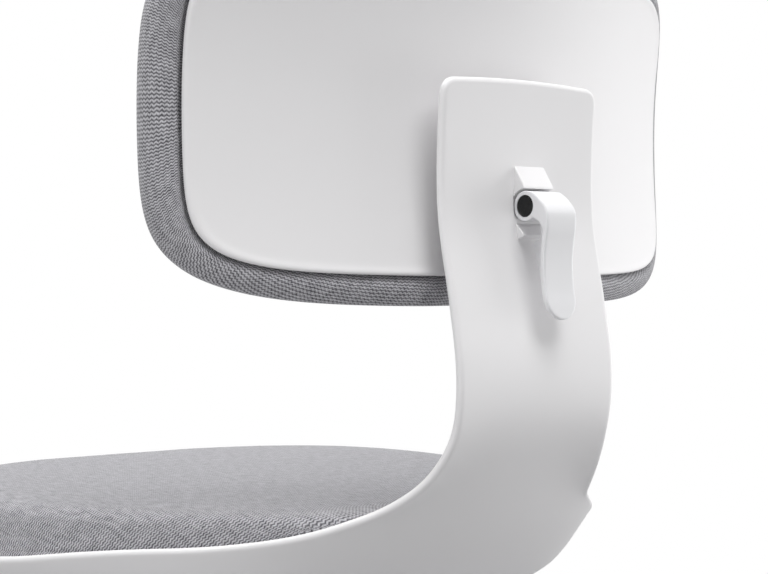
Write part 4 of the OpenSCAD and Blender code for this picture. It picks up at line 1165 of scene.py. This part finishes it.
class CHAIR_OT_mechanism(bpy.types.Operator):
    """Round the edges of the die-cast body under the seat, its bolts and the height lever"""
    bl_idname = "chair.mechanism"
    bl_label = "Mechanism and height lever"

    def execute(self, context):
        rounded("cast_body", "mechanism_body", 1.2)
        rounded("seat_bolts", "mechanism_bolts", 0.5)
        rounded("lever_bar", "height_lever", 0.8)
        rounded("lever_grip", "height_grip", 2.4)
        return {"FINISHED"}


class CHAIR_OT_casters(bpy.types.Operator):
    """Round the edges of the casters' hoods and wheels, and fit their hub covers"""
    bl_idname = "chair.casters"
    bl_label = "Casters"

    def execute(self, context):
        for k in range(1, 6):
            rounded("caster%d_cover" % k, "caster%d_hood" % k, 0.8)
            for letter in ("l", "r"):
                node = "caster%d_wheel_%s" % (k, letter)
                low, high = (Vector(c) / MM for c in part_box(node))
                middle = (low + high) / 2
                rounded("caster%d_tyre_%s" % (k, letter), node, 0.5)
                out = self.outer(k, letter)
                face = high.x if out > 0 else low.x
                hub = "caster%d_hub_%s" % (k, letter)
                cover = turned(hub, [(r, -depth) for r, depth in HUB_SECTION], 48)
                cover.rotation_euler = (0, out * math.pi / 2, 0)
                cover.location = Vector((face, middle.y, middle.z)) * MM
                settle(cover)
                smooth(cover, 30)
                settle_in(cover, BODY_OF[node], "caster_plastic", "caster nylon")
        return {"FINISHED"}

    def outer(self, k, letter):
        """1 where the wheel lies on the +X side of its caster, else -1."""
        hood = sum((Vector(c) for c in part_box("caster%d_hood" % k)), Vector()) / 2
        wheel = sum((Vector(c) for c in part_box("caster%d_wheel_%s" % (k, letter))), Vector()) / 2
        return math.copysign(1, wheel.x - hood.x)


class CHAIR_PT_panel(bpy.types.Panel):
    """Lists the steps that build the chair"""
    bl_label = "Office chair"
    bl_idname = "CHAIR_PT_panel"
    bl_space_type = "VIEW_3D"
    bl_region_type = "UI"
    bl_category = "Chair"

    def draw(self, context):
        column = self.layout.column()
        for group in (context.scene.chair_sizes, context.scene.chair_colours):
            for key in group.__annotations__:
                column.prop(group, key)
        for step in STEPS:
            column.operator(step.bl_idname)


STEPS = (CHAIR_OT_stage, CHAIR_OT_materials, CHAIR_OT_sheet, CHAIR_OT_clamp, CHAIR_OT_back_shell,
         CHAIR_OT_back_pad, CHAIR_OT_seat_cushion, CHAIR_OT_base, CHAIR_OT_column,
         CHAIR_OT_mechanism, CHAIR_OT_casters)
CLASSES = (ChairSizes, ChairColours) + STEPS + (CHAIR_PT_panel,)


def register():
    for kind in CLASSES:
        bpy.utils.register_class(kind)
    bpy.types.Scene.chair_sizes = bpy.props.PointerProperty(type=ChairSizes)
    bpy.types.Scene.chair_colours = bpy.props.PointerProperty(type=ChairColours)


def unregister():
    del bpy.types.Scene.chair_colours
    del bpy.types.Scene.chair_sizes
    for kind in reversed(CLASSES):
        bpy.utils.unregister_class(kind)


def main():
    register()
    for step in STEPS:
        group, name = step.bl_idname.split(".")
        getattr(getattr(bpy.ops, group), name)()


if __name__ == "__main__":
    main()
